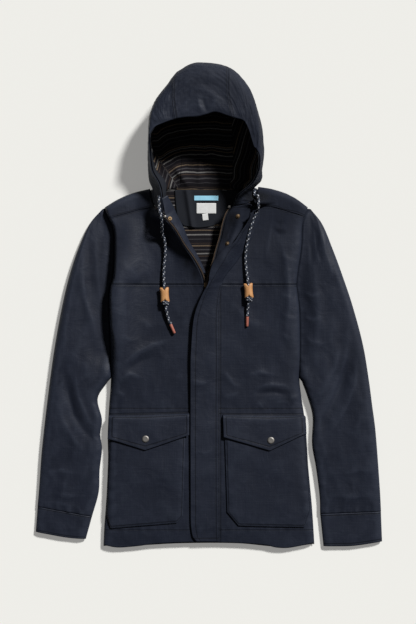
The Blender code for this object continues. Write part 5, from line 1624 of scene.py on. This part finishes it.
def hood_at(s, c):
    """Outer face of the hood: s from the neck (0) to the brim, and c across, which is 0
    and 5 on the rims, 1 and 4 on the channel's edges, and 2 and 3 on the long seams."""
    s, c = np.atleast_1d(np.asarray(s, float)), np.atleast_1d(np.asarray(c, float))
    rows = []
    for points, seams in zip(SECTIONS, SEAMS):
        length = distances(points)[-1]
        rim = CHANNEL / length
        bounds = (0.0, rim, *seams, 1 - rim, 1.0)
        rows.append(walk(points, np.interp(c, range(6), bounds) * length))
    return bend(range(LAST + 1), rows)(s)


def hood_out(s, c):
    """Unit normals of the hood; close to the rims, those of the cloth just inside them."""
    s, c = np.asarray(s, float), np.clip(np.asarray(c, float), .4, 4.6)
    along = hood_at(np.minimum(s + .05, LAST), c) - hood_at(np.maximum(s - .05, 0), c)
    across = hood_at(s, c + .03) - hood_at(s, c - .03)
    return unit(np.cross(along, across))


def spans(grid):
    """Distances along the rows and down the columns of a grid of points."""
    right = np.linalg.norm(np.diff(grid, axis=1), axis=2)
    down = np.linalg.norm(np.diff(grid, axis=0), axis=2)
    return (np.pad(np.cumsum(right, 1), ((0, 0), (1, 0))),
            np.pad(np.cumsum(down, 0), ((1, 0), (0, 0))))


def hood_rows(count_each=15):
    """Values of s from neck to brim, closer together where the hood turns over."""
    weights = np.array([1.0, .75, .75, 1.0, 1.5, 1.4, 1.7, 1.6, 1.5, 1.3])
    counts = np.maximum((weights * count_each).astype(int), 4)
    return np.r_[np.concatenate([k + np.arange(n) / n for k, n in enumerate(counts)]), LAST]


S = hood_rows()
C = {"left": np.r_[np.linspace(0, 1, 12)[:-1], np.linspace(1, 2, 50)],
     "middle": np.linspace(2, 3, 56)}
C["right"] = 5 - C["left"][::-1]
ALL_C = np.r_[C["left"], C["middle"], C["right"]]
outer = hood_at(S, ALL_C)
normal = hood_out(S, ALL_C)
run_c, run_s = spans(outer)
from_rim = np.minimum(run_c, run_c[:, -1:] - run_c)
from_brim = run_s[-1:] - run_s
seam_lines = (run_c - run_c[:, [len(C["left"])]], run_c - run_c[:, [-len(C["right"]) - 1]])
seam_gap = np.minimum(*np.abs(seam_lines))
seen = smooth((normal[..., 2] - .1) / .4)
off_floor = smooth(outer[..., 2] / 6)
relief = creased(HOOD_CREASES, outer[..., 0], outer[..., 1]) * seen
relief += 1.0 * hills(run_c, run_s, 62, 71) + .5 * hills(run_c, run_s, 27, 72)
relief += .42 * hills(run_c * .7, run_s * 1.5, 11, 74) + .2 * hills(run_c, run_s, 6, 75)
relief *= off_floor * smooth(from_rim / 10) * smooth(from_brim / 10)
relief += felled(seam_gap, 5.5, .5) * off_floor
relief += puckered(run_s, seam_gap, 73, 9, 12, .35) * off_floor
bulge_at, bulge_half, bulge_rise = CORD_BULGE
bulge = np.exp(-((np.minimum(from_rim, from_brim) - bulge_at) / bulge_half) ** 2)
relief += bulge_rise * bulge * smooth(S / .5)[:, None]
hood_face = outer + normal * np.maximum(relief, HOOD_DEEPEST)[..., None]
hood_face[..., 2] = np.maximum(hood_face[..., 2], .1)
folded = (S > BRIM_FOLD[0])[:, None] & (hood_face[..., 0] < BRIM_FOLD[1] - .2)
hood_face[..., 0] = np.where(folded, BRIM_FOLD[1] - .2, hood_face[..., 0])
start = 0
for word, node in (("left", "hood_side_l"), ("middle", "hood_centre"),
                   ("right", "hood_side_r")):
    columns = slice(start, start + len(C[word]))
    start += len(C[word])
    cloth("hood_" + word, waxed, "waxed_cotton", node, hood_face[:, columns], HOOD_CLOTH,
          flip=True, seam=sewn(*seam_lines)[:, columns])

# ---------------------------------------------------------------------------- hood lining
# The same striped cotton, three panels. The centre's stripes run across the hood, and
# the sides are cut the other way, so theirs run round it. It gathers at the neck seam.
CHANNEL_IN = HOOD_CLOTH + GAP + .9     # from the hood's outer face
LINING_IN = CHANNEL_IN + .4
LAST_SPAN = 49.0                       # length of the hood's last section, at the brim
BRIM_CHANNEL = LAST - CHANNEL / LAST_SPAN
LEAN = bend((0, .5, 1, 2, 3, 4, 5), (0, 10, 15, 21, 10, 3, 0))          # by s
LEAN_ACROSS = bend((0, .5, 1, 1.35, 1.65, 2), (0, .6, 1, .9, .45, 0))   # by c
LINING_TURN = -62, 245, .68            # x, y and slope of the line where the floor turns up
PLEATS = (
    (7.0, 9, ((-40, 246), (-58, 272), (-80, 300))),
    (3.4, 6, ((-24, 250), (-20, 285), (-18, 318))),
    (2.6, 6, ((34, 250), (30, 276), (34, 300))),
    (2.2, 6, ((-58, 250), (-54, 272), (-60, 296))),
)

s_in = hood_rows(11)
s_in = np.r_[.07, s_in[(s_in > .12) & (s_in < BRIM_CHANNEL - .06)], BRIM_CHANNEL - .03]


def hood_inside(s, c, inward, folds):
    """A face inside the hood, with folds standing into its hollow. On the left the
    channel's facing and the lining beside it lean in from the rim."""
    grid, out = hood_at(s, c), hood_out(s, c)
    grid[..., 0] += np.outer(LEAN(np.minimum(s, 5)), LEAN_ACROSS(np.minimum(c, 2)))
    across, down = spans(grid)
    rise = np.maximum(folds(grid, across, down), 0)
    grid = grid - out * (inward + rise)[..., None]
    fold = (np.asarray(s) > BRIM_FOLD[0])[:, None]
    grid[..., 0] = np.where(fold, np.maximum(grid[..., 0], BRIM_FOLD[1] + inward),
                            grid[..., 0])
    return grid, across, down


def soft_folds(grid, across, down):
    x, y = grid[..., 0], grid[..., 1]
    floor = smooth((30 - grid[..., 2]) / 20)
    neck = np.exp(-(down / 60) ** 2)
    loose = 1.2 + 1.3 * hills(x, y, 46, 81) + .8 * hills(x * 1.6, y * .7, 20, 82)
    pleats = creased(PLEATS, x, y)
    return (loose + pleats * floor + .6 * neck) * smooth(down / 16)


for word, node, c in (("left", "hood_lining_l", np.linspace(1.02, 2, 44)),
                      ("middle", "hood_lining_centre", np.linspace(2, 3, 50)),
                      ("right", "hood_lining_r", np.linspace(3, 3.98, 44))):
    grid, across, down = hood_inside(s_in, c, LINING_IN, soft_folds)
    x, y = grid[..., 0], grid[..., 1]
    stripe = (down * 1.1 + 3.4 * hills(x, y * .5, 36, 83) + 1.4 * hills(x, y * .6, 15, 84))
    if word == "left":
        wall = x < LINING_TURN[0] - LINING_TURN[2] * (y - LINING_TURN[1])
        stripe = np.where(wall, (x - .28 * y) * 1.05 + 200, stripe)
    elif word == "right":
        stripe = (across[:, -1:] - across) * 1.15 + 40
    cloth("hood_lining_" + word, striped, "striped_lining", node, grid, LINING,
          flip=True, rests_on=["hood_" + word], stripe=stripe)

# ------------------------------------------------------------------ inside of the channel
# A strip of navy cotton faces the channel all round the opening, sewn to the hood along
# both its edges. It ends at the neck on both fronts.
s_all = np.r_[s_in, BRIM_CHANNEL + np.linspace(.02, LAST - BRIM_CHANNEL, 14)]
c_all = np.r_[np.linspace(0, .98, 13), np.linspace(1.02, 3.98, 120), np.linspace(4.02, 5, 13)]
grid, across, down = hood_inside(
    s_all, c_all, CHANNEL_IN,
    lambda grid, across, down: .5 + .5 * hills(across, down, 22, 91))
lined = (np.arange(len(s_all) - 1) < len(s_in) - 1)[:, None]
lined = lined & (c_all[:-1] > .97)[None] & (c_all[:-1] < 4.0)[None]
cloth("hood_channel_cloth", cotton, "navy_facing", "hood_channel", grid, FACING, flip=True,
      keep=~lined, rests_on=["hood_left", "hood_middle", "hood_right"])

# ------------------------------------------------------------------------------ stitching
# Waxed navy thread, eight stitches to the inch: a pair of rows beside each felled seam,
# single rows round pockets, hems and cuffs. Each stitch sinks at its ends.
STITCH_PITCH, STITCH_SIZE, STITCH_TILT = 3.3, (2.5, .60, .42), .12
STITCH_SINK, HOOD_SINK = .06, .14      # how deep the middle of a stitch lies
CHEST_END = {"l": -14.0, "r": 26.0}    # x where the rows of the chest seam end
WAIST_SPAN = {"l": (-206, -41), "r": (200, 26)}
YOKE_SPAN = {"l": (-208, -118), "r": (102, 196)}
POCKET_HALF, FLAP_HALF = (75, 105), (82, 36)            # from their middle to their edges
CHANNEL_ROWS = .96, 4.04               # beside the channel, across the hood

thread = Finish("thread", (.008, .010, .016), Roughness=0.85, Specular_IOR_Level=0.12)
ply = thread.noise(thread.place(), 1800.0, 2.0)
thread.show("Base Color", thread.mix((ply * 1.6 - .3).within(), (.005, .006, .010),
                                     (.013, .016, .024)))
stitches = repeater("stitches", "bead")


def stitch(name, rows, seed):
    """One piece of thread: these rows of stitches."""
    belongs(along_lines(name, stitches, thread, rows, STITCH_PITCH, STITCH_SIZE,
                        STITCH_TILT, seed), "waxed_cotton")


def sewn_on(pieces, *lines):
    """Rows of stitches along flat lines, dropped onto the topmost of the pieces."""
    rows = []
    for line in lines:
        found = drop(pieces, even(line, 3.0))
        if len(found) > 2:
            places = np.array([p / MM for p, _ in found])
            out = np.array([n for _, n in found])
            rows.append((places - out * STITCH_SINK, out))
    return rows


def beside(line, gap):
    """The same flat line, moved sideways."""
    points = line(np.linspace(0, 1, 60))[:, :2]
    along = unit(np.gradient(points, axis=0))
    return path(*(points + np.c_[-along[:, 1], along[:, 0]] * gap))


def inside_of(shape, inset, half):
    """A pocket's or a flap's outline, moved in from its edges."""
    top, low = shape
    cut = np.array([top[0], *low, top[1]], float)
    middle = cut.mean(0)
    shrink = 1 - inset / np.array(half)
    return corners(*(middle + (cut - middle) * shrink))


rows = []
for side, word in NAMES.items():
    sign = SIGN[side]
    chest = path((float(SIDE[side](CHEST_SEAM)) - sign * 6, CHEST_SEAM),
                 (CHEST_END[side], CHEST_SEAM))
    x0, x1 = WAIST_SPAN[side]
    yoke = line_over(YOKE_SEAM[side], np.linspace(*YOKE_SPAN[side], 8))
    rows += sewn_on(["front_" + word, "chest_" + word, "yoke_" + word],
                    beside(chest, PAIR_GAP), beside(chest, -PAIR_GAP),
                    path((x0, WAIST_LINE), (x1, WAIST_LINE)),
                    path((x0, HEM_LINE), (x1, HEM_LINE)),
                    beside(yoke, PAIR_GAP), beside(yoke, -PAIR_GAP))
    rows += sewn_on(["pocket_" + word, "pocket_flap_" + word],
                    inside_of(POCKETS[side], POCKET_ROW, POCKET_HALF))
    flap_top = np.array(FLAPS[side][0]) + ((-sign * FLAP_ROW, -FLAP_ROW),
                                           (sign * FLAP_ROW, -FLAP_ROW))
    rows += sewn_on(["pocket_flap_" + word], inside_of(FLAPS[side], FLAP_ROW, FLAP_HALF),
                    corners(*flap_top))
rows += sewn_on(["storm_flap_cloth"],
                line_of(lambda y: STORM_SEWN(y) - 7, -488, 40, 12),
                line_of(lambda y: STORM_SEWN(y) - 2, -488, 40, 12),
                line_of(lambda y: STORM_FREE(y) + STORM_ROW, -470, 195, 24),
                path((-30, -484), (18, -485)))
stitch("stitches_body", rows, 11)

rows = []
for side, word in NAMES.items():
    seam, end = path(*SLEEVES[side]["cuff"]), path(*SLEEVES[side]["end"])
    t = np.linspace(.02, .98, 20)
    for row in CUFF_ROWS:
        share = row / CUFF_LONG
        rows += sewn_on(["cuff_" + word], path(*(seam(t) * (1 - share) + end(t) * share)))
    rows += sewn_on([f"sleeve_{word}_top"], path(*(seam(t) + (0, 4))))
stitch("stitches_sleeves", rows, 12)


def on_hood(s, c):
    """A row of stitches on the hood's outer face along a line of s and c."""
    rows_near = np.interp(s, S, np.arange(len(S)))
    columns_near = np.interp(c, ALL_C, np.arange(len(ALL_C)))
    i = np.minimum(np.floor(rows_near).astype(int), len(S) - 2)
    j = np.minimum(np.floor(columns_near).astype(int), len(ALL_C) - 2)
    a, b = (rows_near - i)[:, None], (columns_near - j)[:, None]

    def at(grid):
        return ((grid[i, j] * (1 - a) + grid[i + 1, j] * a) * (1 - b)
                + (grid[i, j + 1] * (1 - a) + grid[i + 1, j + 1] * a) * b)
    out = at(normal)
    return at(hood_face) - CENTRE - out * HOOD_SINK, out


s = np.linspace(.15, LAST - .02, 260)
rows = [on_hood(s, np.interp(s, S, [np.interp(gap, one, ALL_C) for one in line]))
        for line in seam_lines for gap in (-PAIR_GAP, PAIR_GAP)]
below_brim = s[s < BRIM_CHANNEL]
rows += [on_hood(below_brim, np.full(len(below_brim), c)) for c in CHANNEL_ROWS]
c = np.linspace(.9, 4.1, 300)
rows.append(on_hood(np.interp(c, ALL_C, [np.interp(-CHANNEL + 1, -one, S)
                                         for one in from_brim.T]), c))
stitch("stitches_hood", rows, 13)
